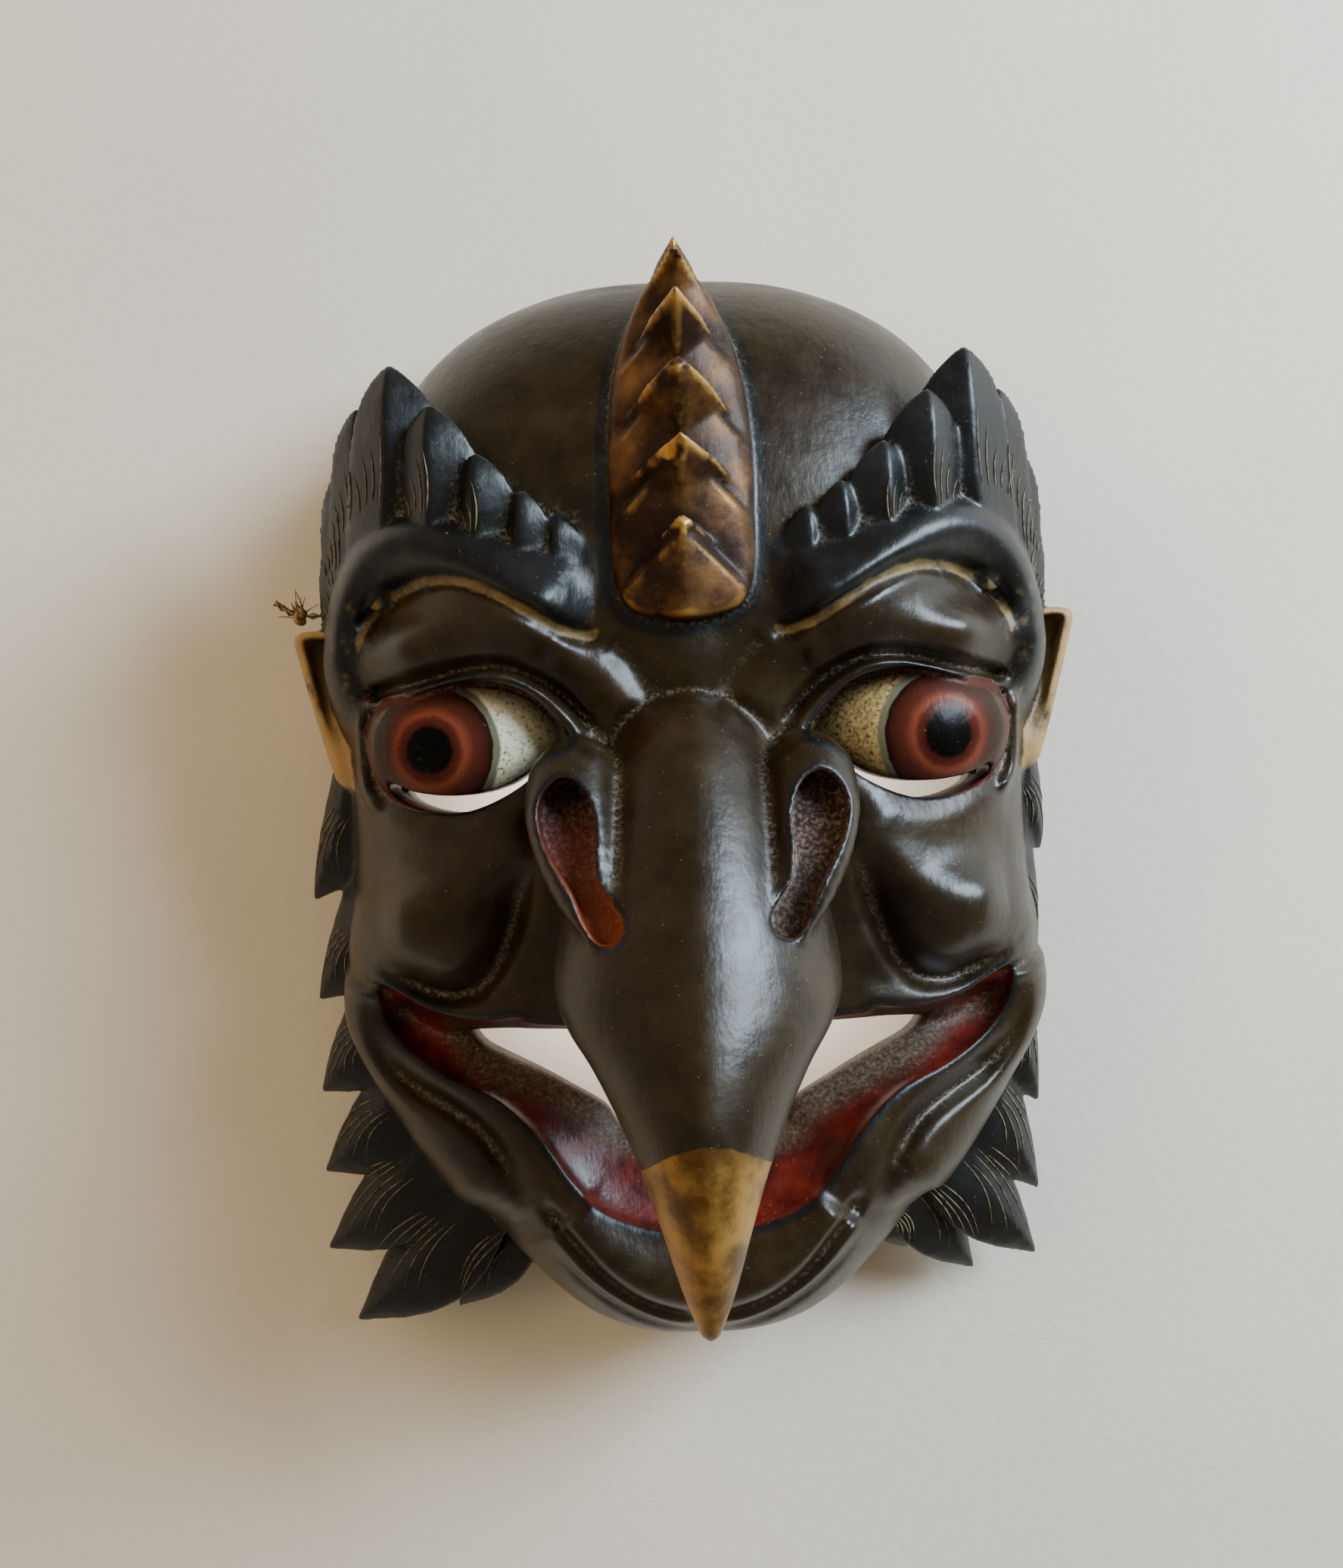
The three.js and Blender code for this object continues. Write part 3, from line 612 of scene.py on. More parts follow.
# ---- What the painter follows: distances in mm at each point, plus inside the painted zone -------
def paint_zones(points, carving):
    """Name and values of each paint attribute."""
    x, y, z = np.abs(points[:, 0]), points[:, 1], points[:, 2]
    half = carving.half.axes
    depth = {name: sample(getattr(carving, name), half, points, True)
             for name in ("unopened", "without_beak", "plain_beak", "without_ear", "without_crest")}
    depth["solid"] = sample(carving.solid, carving.whole.axes, points)
    depth["feathers"] = sample(carving.feathers, carving.whole.axes, points)
    in_front = z > 22
    outer = depth["solid"] > -0.4

    def painted(mask, value):
        return np.where(mask, value, -9.0)

    mouth = outline_distance(both_halves(UPPER_LIP, LOWER_LIP), x, y)
    lip_band = 1.0 - np.abs(mouth - 0.5)
    by_mouth = in_front & outer & (mouth < 2.5) & (y < -30)
    mouth_paint = painted(by_mouth, np.minimum(-depth["unopened"], 1.2 - mouth) - 0.3)
    throat = outline_distance(both_halves(THROAT_UPPER, THROAT_LOWER), x, y)
    high_side = np.where(points[:, 0] > 0, y + 45.5 - 0.1 * (x - 36), -9)
    belt = np.minimum.reduce([np.maximum(4.6 - throat, high_side), mouth_paint + 0.2, -0.8 - mouth, -41.5 - y])
    nostril = outline_distance(NOSTRIL, x, y)
    nostril_paint = painted(z > 60, np.minimum(-depth["plain_beak"] - 0.3, 0.5 - nostril))
    eye = outline_distance(EYE_OUTLINE, x, y)
    ball = sum(((p - c) / r) ** 2 for p, c, r in zip((x, y, z), EYE_CENTRE, EYE_RADII))
    eye_paint = painted(in_front & outer, np.minimum((1.06 - ball) * 8, 1.0 - eye))
    crest_line = outline_distance(CREST_OUTLINE, x, y)
    crest_paint = painted((z > 30) & (crest_line < 3), np.minimum(depth["without_crest"] - 0.5, 2))
    brow = painted(in_front & outer & (crest_line > 1.5), -outline_distance(BROW_BLACK, x, y))
    quill = painted(outer, np.minimum(0.45 - depth["feathers"], 3))
    gap, side, along = along_path(GOLD_LINE, x, y, 60)
    line_end = np.clip((1 - along) * 30, 0, 1) * np.clip(along * 14, 0, 1)
    gold_line = painted(in_front, 0.7 * (0.35 + 0.65 * line_end) - gap)
    lash = 0.55 - np.abs(eye - 0.5)
    wider_low_left = 0.5 * smoothstep(6, -6, points[:, 0]) * smoothstep(50, 28, y)
    crest_band = 1.2 + wider_low_left - np.abs(crest_line - 1.0)
    nostril_band = 0.55 - np.abs(nostril - 0.5)
    bands = np.where(in_front & outer, np.maximum.reduce([
        np.where(depth["plain_beak"] < depth["without_beak"] - 0.4, -9, lip_band),
        lash,
        np.where(z > 40, crest_band, -9),
        np.where(z > 60, nostril_band, -9),
    ]), -9)
    chip = 3.1 - np.sqrt((points[:, 0] + 3.5) ** 2 + (y - 52.4) ** 2 + (z - 83.2) ** 2)
    by_ear = (x > 55) & (y > -3) & (y < 34)
    tip = painted(z > 76, np.minimum(-52.2 - 0.055 * points[:, 0] ** 2 - y + 0.05 * points[:, 0], 9))
    tip = np.where(depth["plain_beak"] < depth["without_beak"] - 0.3, tip, -9)
    return {
        "black": np.maximum.reduce([brow, quill, bands]),
        "gold_line": gold_line,
        "mouth": mouth_paint,
        "belt": belt,
        "nostril": nostril_paint,
        "eye": eye_paint,
        "lid": eye,
        "crest": crest_paint,
        "ear": painted(by_ear, np.minimum(depth["without_ear"] - 0.3, depth["feathers"] - 0.6)),
        "tip": tip,
        "chip": chip,
        "bare": -depth["solid"] - 0.5,
        "quill": quill,
    }


def roundness(mesh, normals, rounds=3):
    """How much each point stands out (plus) or sinks in (minus), in 1/mm."""
    count = len(mesh.vertices)
    ends = np.empty(len(mesh.edges) * 2, np.int32)
    mesh.edges.foreach_get("vertices", ends)
    a, b = ends[::2], ends[1::2]
    place = np.empty(count * 3, np.float32)
    mesh.vertices.foreach_get("co", place)
    place = place.reshape(-1, 3)
    across = place[b] - place[a]
    bend = ((normals[b] - normals[a]) * across).sum(1) / np.maximum((across**2).sum(1), 0.04)
    share = np.maximum(np.bincount(a, minlength=count) + np.bincount(b, minlength=count), 1)
    value = (np.bincount(a, bend, count) + np.bincount(b, bend, count)) / share
    for _ in range(rounds):
        beside = (np.bincount(a, value[b], count) + np.bincount(b, value[a], count)) / share
        value = 0.4 * value + 0.6 * beside
    return value


# ---- Materials -----------------------------------------------------------------------------------
# The Mix node's two colours among its inputs, and the mixed one among its outputs.
MIX_UNDER, MIX_OVER, MIX_RESULT = 6, 7, 2


def linear(code):
    """An sRGB hex value as linear red, green, blue and 1."""
    parts = [int(code[i:i + 2], 16) / 255 for i in (0, 2, 4)]
    return [c / 12.92 if c <= 0.04045 else ((c + 0.055) / 1.055) ** 2.4 for c in parts] + [1.0]


def add(tree, kind, inputs=None, codes=(), places=(), **settings):
    """Adds a node with its settings. inputs gives a value, or an output to link, for each input. codes and
    places are the colours and places of a colour ramp's stops."""
    node = tree.nodes.new(kind)
    for name, value in settings.items():
        setattr(node, name, value)
    for key, value in (inputs or {}).items():
        if isinstance(value, bpy.types.NodeSocket):
            tree.links.new(value, node.inputs[key])
        else:
            node.inputs[key].default_value = value
    for _ in codes[2:]:
        node.color_ramp.elements.new(0.5)
    for index, (code, place) in enumerate(zip(codes, places)):
        stop = node.color_ramp.elements[index]
        stop.position = place
        stop.color = linear(code) if isinstance(code, str) else code
    return node


def new_material(name):
    material = bpy.data.materials.new(name)
    material.use_nodes = True
    material.node_tree.nodes.clear()
    return material, material.node_tree


class Coats:
    """Coats of paint laid one over another: each has the share it covers, a colour and a gloss."""

    def __init__(self, tree, wobble):
        self.tree, self.wobble = tree, wobble
        self.colour = self.rough = None

    def zone(self, name, soft=0.25):
        """0 outside and 1 inside the zone that an attribute gives in mm, with a hand-painted edge."""
        where = add(self.tree, "ShaderNodeAttribute", attribute_name=name).outputs["Fac"]
        moved = add(self.tree, "ShaderNodeMath", {0: where, 1: self.wobble}, operation="ADD").outputs[0]
        edge = {"Value": moved, "From Min": -soft, "From Max": soft}
        return add(self.tree, "ShaderNodeMapRange", edge, interpolation_type="SMOOTHSTEP").outputs["Result"]

    def share(self, *parts):
        """The product of its parts: outputs, numbers, or (output, low, high) for a rise from 0 at low to 1
        at high."""
        total = None
        for part in parts:
            if isinstance(part, tuple):
                rise = {"Value": part[0], "From Min": part[1], "From Max": part[2]}
                part = add(self.tree, "ShaderNodeMapRange", rise).outputs["Result"]
            if total is not None:
                part = add(self.tree, "ShaderNodeMath", {0: total, 1: part}, operation="MULTIPLY").outputs[0]
            total = part
        return total

    def lay(self, share, colour, rough):
        """Lays a coat. colour is an output, a hex value, or (pattern, codes, places) for a blotchy coat."""
        if isinstance(colour, str):
            colour = linear(colour)
        elif isinstance(colour, tuple):
            pattern, codes, places = colour
            colour = add(self.tree, "ShaderNodeValToRGB", {"Fac": pattern}, codes, places).outputs["Color"]
        if self.colour is not None:
            gloss = {0: share, "A": self.rough, "B": rough}
            tint = {0: share, MIX_UNDER: self.colour, MIX_OVER: colour}
            rough = add(self.tree, "ShaderNodeMix", gloss, data_type="FLOAT").outputs["Result"]
            colour = add(self.tree, "ShaderNodeMix", tint, data_type="RGBA").outputs[MIX_RESULT]
        self.colour, self.rough = colour, rough


def painted_wood(paint, shift):
    """Close-grained softwood, carved, painted and lacquered by hand, then worn: a satin skin whose broad
    highlights break up along the brush, with matt dust in the hollows and bare edges."""
    material, tree = new_material("Lacquered carved softwood")
    place = add(tree, "ShaderNodeTexCoord").outputs["Object"]
    noises = []
    for size, detail, stretch in (  # size in mm
        (22, 3, (1, 1, 1)), (7, 4, (1, 1, 1)), (1.6, 3, (1, 0.3, 0.6)), (0.7, 2, (1, 1, 1)),
        (2.6, 2, (1, 1, 1)),
    ):
        scaled = add(tree, "ShaderNodeMapping", {"Vector": place, "Scale": stretch}).outputs[0]
        noise = {"Vector": scaled, "Scale": 1 / (size * MM), "Detail": detail, "Roughness": 0.6}
        noises.append(add(tree, "ShaderNodeTexNoise", noise).outputs["Fac"])
    cloud, patch, grain, speck, hand = noises
    wobble = add(tree, "ShaderNodeMath", {0: hand, 1: 0.8, 2: -0.4}, operation="MULTIPLY_ADD").outputs[0]
    mixed = add(tree, "ShaderNodeMath", {0: cloud, 1: patch}, operation="ADD").outputs[0]
    mixed = add(tree, "ShaderNodeMath", {0: mixed, 1: 0.5}, operation="MULTIPLY").outputs[0]
    rounded = add(tree, "ShaderNodeAttribute", attribute_name="roundness").outputs["Fac"]
    spot = add(tree, "ShaderNodeSeparateXYZ", {"Vector": place})
    coats = Coats(tree, wobble)
    right_side = coats.share((spot.outputs["X"], -0.004, 0.006))

    # lacquered skin, darker and redder in clouds; blue-black; the eyebrow line in dull gold
    coats.lay(None, (mixed, ("100804", paint.lacquer, "352813"), (0.3, 0.5, 0.72)), 0.36)
    coats.lay(coats.zone("black"), (mixed, ("050505", paint.black, "1a1d20"), (0.3, 0.52, 0.75)), 0.4)
    coats.lay(coats.zone("gold_line", 0.3),
              (patch, ("3a2f1a", paint.line_gold, "86713f"), (0.3, 0.5, 0.72)), 0.5)
    # mouth red, with the bare and dusty belt by the opening
    coats.lay(coats.zone("mouth"), (patch, ("1a0403", paint.mouth_red, "681d0d"), (0.3, 0.5, 0.75)), 0.36)
    coats.lay(coats.zone("belt", 2.2), (speck, ("24160e", "463527", "6a5a4c"), (0.28, 0.5, 0.76)), 0.6)
    # worn gold leaf of the crest, brown in blotches (its hollows get painted shade further on); the ears; the gilded
    # beak
    golden = coats.zone("crest", 0.3)
    gilded_tip = coats.zone("tip", 0.2)
    coats.lay(golden, (mixed, ("1a0c05", "331c0b", paint.crest_gold, "8a6530"), (0.32, 0.46, 0.6, 0.76)), 0.46)
    coats.lay(coats.zone("ear", 0.3), (patch, ("3d2a16", paint.ear_tan, "93733f"), (0.3, 0.5, 0.75)), 0.5)
    coats.lay(gilded_tip, (mixed, ("38230e", "604218", paint.tip_gold, "b58a3f"), (0.34, 0.45, 0.55, 0.7)), 0.4)

    # nostrils, dark red above to orange-brown below with the right one rubbed grey-brown, and eye whites
    eye = coats.zone("eye", 0.2)
    low = coats.share((spot.outputs["Y"], (shift[1] - 22) * MM, (shift[1] + 2) * MM))
    for zone, rough, left, right in (
        (coats.zone("nostril"), 0.5, (low, ("8a3c16", "5c1c0e", "2a0a07"), (0.0, 0.45, 0.9)),
         (speck, ("24100c", "4a3229", "7d6858"), (0.34, 0.52, 0.74))),
        (eye, 0.42, (speck, ("6f6848", paint.eye_white, "e4e0c8"), (0.3, 0.42, 0.7)),
         (speck, ("4b3418", paint.eye_tan, "c2a878"), (0.3, 0.46, 0.7))),
    ):
        pair = [add(tree, "ShaderNodeValToRGB", {"Fac": pattern}, codes, places).outputs["Color"]
                for pattern, codes, places in (left, right)]
        sides = {0: right_side, MIX_UNDER: pair[0], MIX_OVER: pair[1]}
        either = add(tree, "ShaderNodeMix", sides, data_type="RGBA").outputs[MIX_RESULT]
        coats.lay(zone, either, rough)

    # the eye: rings round a pupil that looks outwards, in mm from its middle
    flat = place
    for operation, other in (
        ("SUBTRACT", (shift[0] * MM, shift[1] * MM, 0)), ("ABSOLUTE", (0, 0, 0)),
        ("SUBTRACT", (EYES_SEE_OUT[0] * MM, EYES_SEE_OUT[1] * MM, 0)), ("MULTIPLY", (1 / MM, 1 / MM, 0)),
    ):
        flat = add(tree, "ShaderNodeVectorMath", {0: flat, 1: other}, operation=operation).outputs[0]
    outwards = add(tree, "ShaderNodeSeparateXYZ", {"Vector": flat}).outputs["X"]
    away = add(tree, "ShaderNodeVectorMath", {0: flat}, operation="LENGTH").outputs["Value"]
    away = add(tree, "ShaderNodeMath", {0: away, 1: wobble}, operation="ADD").outputs[0]
    spread = add(tree, "ShaderNodeMath", {0: away, 1: 14}, operation="DIVIDE").outputs[0]
    rings = ("030303", "030303", "3c160e", "4a1e14", paint.iris_ring, paint.iris, "38160e", "0c0807")
    coats.lay(coats.share((away, 12.3, 11.8), (outwards, -2.0, -6.0), eye), "63624c", 0.4)
    coats.lay(coats.share((away, 11.0, 10.7), eye),
              (spread, rings, (0.0, 0.27, 0.31, 0.38, 0.44, 0.55, 0.7, 0.77)), 0.3)
    # painted shade: iris and white darkened to brown-black towards the outer corner, where the lid shades them
    coats.lay(coats.share((outwards, 5.0, 9.5), eye, 0.85), "241a10", 0.45)
    # painted shade in brown next to the lid, where the lid shades the eye, and the red rim painted along it
    lid = add(tree, "ShaderNodeAttribute", attribute_name="lid").outputs["Fac"]
    coats.lay(coats.share((lid, -3.6, -1.0), eye, 0.75), "2c130c", 0.4)
    coats.lay(coats.share((lid, -1.1, -0.8), eye), "47201a", 0.45)

    # dust in the hollows, painted shade in the crest's hollows and bright edges of the crest, a fresh chip, rubbed
    # edges and flecks
    coats.lay(coats.share((rounded, -0.1, -0.5), (speck, 0.44, 0.66), 0.55), "8d8070", 0.8)
    # painted shade: the crest's hollows darkened to a near-black brown
    coats.lay(coats.share((rounded, 0.02, -0.25), golden), "1c0e07", 0.5)
    coats.lay(coats.share((rounded, 0.14, 0.4), (patch, 0.4, 0.52), golden), "b98a45", 0.36)
    coats.lay(coats.zone("chip", 0.3), (grain, ("9a6a24", "d09a48", "e0b468"), (0.3, 0.5, 0.7)), 0.6)
    coats.lay(coats.share((patch, 0.42, 0.6), (rounded, 0.42, 1.0), 0.35), "6d5f4b", 0.4)
    coats.lay(coats.share((speck, 0.69, 0.78), 0.4), "9c8f78", 0.7)
    # bare wood inside, cut with a gouge and darkened by handling
    coats.lay(coats.zone("bare", 0.3), (grain, ("3b2c1e", "6b5238", "8a6c4b"), (0.32, 0.5, 0.7)), 0.72)

    uneven = add(tree, "ShaderNodeMath", {0: patch, 1: 0.5}, operation="SUBTRACT").outputs[0]
    uneven = {0: uneven, 1: 0.3, 2: coats.rough}
    uneven = add(tree, "ShaderNodeMath", uneven, operation="MULTIPLY_ADD").outputs[0]
    fine = add(tree, "ShaderNodeBump", {"Height": grain, "Strength": 0.35, "Distance": 0.22 * MM}).outputs[0]
    broad = {"Height": patch, "Strength": 0.5, "Distance": 0.5 * MM, "Normal": fine}
    leafed = add(tree, "ShaderNodeMath", {0: golden, 1: gilded_tip}, operation="MAXIMUM").outputs[0]
    matt_eye = {"Value": eye, "To Min": 0.5, "To Max": 0.16}
    shader = add(tree, "ShaderNodeBsdfPrincipled", {
        "Base Color": coats.colour, "Metallic": coats.share(leafed, 0.45), "Roughness": uneven, "IOR": 1.45,
        "Normal": add(tree, "ShaderNodeBump", broad).outputs[0],
        "Specular IOR Level": add(tree, "ShaderNodeMapRange", matt_eye).outputs["Result"],
    })
    add(tree, "ShaderNodeOutputMaterial", {"Surface": shader.outputs[0]})
    return material


def plant_fibre(colour):
    """Dry twisted plant fibre: matt, straw-brown, each strand a little lighter or darker than the next."""
    material, tree = new_material("Twisted plant fibre")
    place = add(tree, "ShaderNodeTexCoord").outputs["Object"]
    noise = {"Vector": place, "Scale": 1 / (0.9 * MM), "Detail": 4}
    threads = add(tree, "ShaderNodeTexNoise", noise).outputs["Fac"]
    tone = add(tree, "ShaderNodeValToRGB", {"Fac": threads}, ("5a4526", colour, "cdb685"), (0.3, 0.5, 0.74))
    bump = add(tree, "ShaderNodeBump", {"Height": threads, "Strength": 0.6, "Distance": 0.15 * MM}).outputs[0]
    shader = add(tree, "ShaderNodeBsdfPrincipled", {
        "Base Color": tone.outputs["Color"], "Roughness": 0.88, "Normal": bump, "Sheen Weight": 0.2,
    })
    add(tree, "ShaderNodeOutputMaterial", {"Surface": shader.outputs[0]})
    return material


def brushed_line(colour):
    """Thin opaque paint drawn with a few hairs of a brush: flat, pale, a little broken."""
    material, tree = new_material("Pale hairline paint")
    place = add(tree, "ShaderNodeTexCoord").outputs["Object"]
    noise = {"Vector": place, "Scale": 1 / (1.4 * MM), "Detail": 3}
    broken = add(tree, "ShaderNodeTexNoise", noise).outputs["Fac"]
    tone = add(tree, "ShaderNodeValToRGB", {"Fac": broken}, ("1c1b19", colour, "8f8260"), (0.34, 0.5, 0.7))
    shader = add(tree, "ShaderNodeBsdfPrincipled", {"Base Color": tone.outputs["Color"], "Roughness": 0.6})
    add(tree, "ShaderNodeOutputMaterial", {"Surface": shader.outputs[0]})
    return material


def plaster(colour):
    """Rolled and painted plaster board: matt, with a soft orange-peel of a millimetre or two."""
    material, tree = new_material("Rolled wall plaster")
    place = add(tree, "ShaderNodeTexCoord").outputs["Object"]
    peel = {"Vector": place, "Scale": 1 / (2.2 * MM), "Detail": 4}
    peel = add(tree, "ShaderNodeTexNoise", peel).outputs["Fac"]
    slow = {"Vector": place, "Scale": 1 / (90 * MM), "Detail": 2}
    slow = add(tree, "ShaderNodeTexNoise", slow).outputs["Fac"]
    tones = [c * 0.94 for c in colour[:3]] + [1], [min(1, c * 1.04) for c in colour[:3]] + [1]
    tone = add(tree, "ShaderNodeValToRGB", {"Fac": slow}, tones, (0.3, 0.7)).outputs["Color"]
    bump = add(tree, "ShaderNodeBump", {"Height": peel, "Strength": 0.35, "Distance": 0.4 * MM}).outputs[0]
    shader = add(tree, "ShaderNodeBsdfPrincipled", {"Base Color": tone, "Roughness": 0.85, "Normal": bump})
    add(tree, "ShaderNodeOutputMaterial", {"Surface": shader.outputs[0]})
    return material


# ---- Sizes and colours that a user would change --------------------------------------------------
def colour_property(name, description, code):
    return FloatVectorProperty(name=name, description=description, size=4, subtype="COLOR", min=0, max=1,
                               default=linear(code))


class MaskPaint(bpy.types.PropertyGroup):
    lacquer: colour_property("Lacquer", "Middle tone of the olive-brown skin", "231809")
    black: colour_property("Blue-black", "Brows, feathers and outlines", "0d0f12")
    line_gold: colour_property("Line gold", "Curled line under each brow", "64522f")
    crest_gold: colour_property("Crest gold", "Worn gold of the crest", "6d4822")
    tip_gold: colour_property("Beak gold", "Gold on the end of the beak", "9a7336")
    ear_tan: colour_property("Ear tan", "Ears", "a98857")
    mouth_red: colour_property("Mouth red", "Inside of the lips", "490d09")
    iris: colour_property("Iris", "Red-brown of the iris", "4a2219")
    iris_ring: colour_property("Iris ring", "Bright ring round the pupil", "733826")
    eye_white: colour_property("Left white", "Cream of the eye on the left", "ccc8ac")
    eye_tan: colour_property("Right white", "Yellowed white of the eye on the right", "9a8252")
    hairline: colour_property("Hairlines", "Fine strokes on the feathers", "6e6347")


class MaskCarving(bpy.types.PropertyGroup):
    grid: FloatProperty(name="Cut", description="Smallest cut of the carving", default=0.62 * MM, min=0.4 * MM,
                        max=3 * MM, unit="LENGTH", precision=5)
    triangles: IntProperty(name="Triangles", description="Most triangles in the carved shell", default=186000,
                           min=20000, max=199000)


class MaskCord(bpy.types.PropertyGroup):
    radius: FloatProperty(name="Radius", description="Half the cord's thickness", default=CORD_RADIUS * MM,
                          min=0.3 * MM, max=2 * MM, unit="LENGTH", precision=5)
    twist: FloatProperty(name="Lay", description="Length of one full turn of the strands", default=5 * MM,
                         min=2 * MM, max=20 * MM, unit="LENGTH", precision=5)
    fibres: IntProperty(name="Loose fibres", description="Fibres in the frayed end", default=26, min=6, max=80)
    colour: colour_property("Fibre", "Dry plant fibre", "9b8253")


class MaskStage(bpy.types.PropertyGroup):
    camera_height: FloatProperty(name="Camera height", description="Above the floor", default=0.344,
                                 unit="LENGTH")
    camera_turn: FloatProperty(name="Camera turn", description="Roll about the line of sight",
                               default=math.radians(-1.9), subtype="ANGLE")
    window: FloatProperty(name="Window", description="Watts of the window light", default=16.5, min=0)
    lamp: FloatProperty(name="Warm fill", description="Watts of the warm fill light", default=5.0, min=0)
    glow: FloatProperty(name="Glow", description="Watts on the ground behind the mask", default=0.12, min=0)
    plaster: colour_property("Plaster", "Pale ground", "e6dccc")


# ---- Where the carver's grid sits in the frame ---------------------------------------------------
SOLID_LOW, SOLID_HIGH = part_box("mask")
SHIFT = np.array((SOLID_HIGH[0] / MM - EAR_EDGE, SOLID_LOW[1] / MM - LONGEST_FEATHER, 0.0))


def to_frame(points):
    """Metres in the frame, from millimetres in the carver's grid."""
    return (np.asarray(points, float) + SHIFT) * MM


def stand_in(obj, node):
    """Links a finished piece, lets it ride on the body and stand for a node."""
    if obj.name not in bpy.context.scene.collection.objects:
        bpy.context.scene.collection.objects.link(obj)
    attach(obj, "root")
    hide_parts(node)


def swept_curves(name, routes, radii):
    """One curve object of open poly splines, each with a radius at every point."""
    data = bpy.data.curves.new(name, "CURVE")
    data.dimensions = "3D"
    for route, radius in zip(routes, radii):
        line = data.splines.new("POLY")
        line.points.add(len(route) - 1)
        for point, place, r in zip(line.points, route, radius):
            point.co = (*place, 1)
            point.radius = r
    obj = bpy.data.objects.new(name, data)
    bpy.context.scene.collection.objects.link(obj)
    return obj


def sweep(obj, material, name, sizes, strands=1, sides=6):
    """Sweeps every line of a curve object with Geometry Nodes and returns the plain mesh object. sizes are
    the tree's named inputs: a strand's radius and the length of a turn."""
    tree = bpy.data.node_groups.new(name + " sweep", "GeometryNodeTree")
    for way in ("INPUT", "OUTPUT"):
        tree.interface.new_socket("Geometry", in_out=way, socket_type="NodeSocketGeometry")
    keys = {key: tree.interface.new_socket(key, in_out="INPUT", socket_type="NodeSocketFloat").identifier
            for key in sizes}
    given = add(tree, "NodeGroupInput")
    along = add(tree, "GeometryNodeSplineParameter").outputs["Length"]
    turn_length, thickness = given.outputs["Turn length"], given.outputs["Strand radius"]
    turns = add(tree, "ShaderNodeMath", {0: along, 1: turn_length}, operation="DIVIDE").outputs[0]
    tilt = add(tree, "ShaderNodeMath", {0: turns, 1: math.tau}, operation="MULTIPLY").outputs[0]
    turned = {"Curve": given.outputs["Geometry"], "Tilt": tilt}
    turned = add(tree, "GeometryNodeSetCurveTilt", turned).outputs[0]
    section = {"Resolution": sides, "Radius": thickness}
    section = add(tree, "GeometryNodeCurvePrimitiveCircle", section).outputs[0]
    joined = add(tree, "GeometryNodeJoinGeometry")
    for k in range(strands):
        angle = math.tau * k / strands
        far = 0 if strands == 1 else 1
        spot = {0: (math.cos(angle) * far, math.sin(angle) * far, 0), "Scale": thickness}
        spot = add(tree, "ShaderNodeVectorMath", spot, operation="SCALE").outputs[0]
        moved = add(tree, "GeometryNodeTransform", {"Geometry": section, "Translation": spot}).outputs[0]
        tree.links.new(moved, joined.inputs[0])
    radius = add(tree, "GeometryNodeInputRadius").outputs[0]
    swept = add(tree, "GeometryNodeCurveToMesh", {"Curve": turned, "Profile Curve": joined.outputs[0],
                                                  "Fill Caps": True})
    for socket in swept.inputs:
        if socket.name == "Scale":
            tree.links.new(radius, socket)
    smooth = add(tree, "GeometryNodeSetShadeSmooth", {"Geometry": swept.outputs[0]}).outputs[0]
    real = add(tree, "GeometryNodeRealizeInstances", {"Geometry": smooth}).outputs[0]
    done = add(tree, "GeometryNodeSetMaterial", {"Geometry": real, "Material": material}).outputs[0]
    add(tree, "NodeGroupOutput", {"Geometry": done})
    modifier = obj.modifiers.new("Sweep", "NODES")
    modifier.node_group = tree
    for key, value in sizes.items():
        modifier[keys[key]] = value
    graph = bpy.context.evaluated_depsgraph_get()
    mesh = bpy.data.meshes.new_from_object(obj.evaluated_get(graph))
    mesh.name = name
    bpy.data.objects.remove(obj)
    return bpy.data.objects.new(name, mesh)


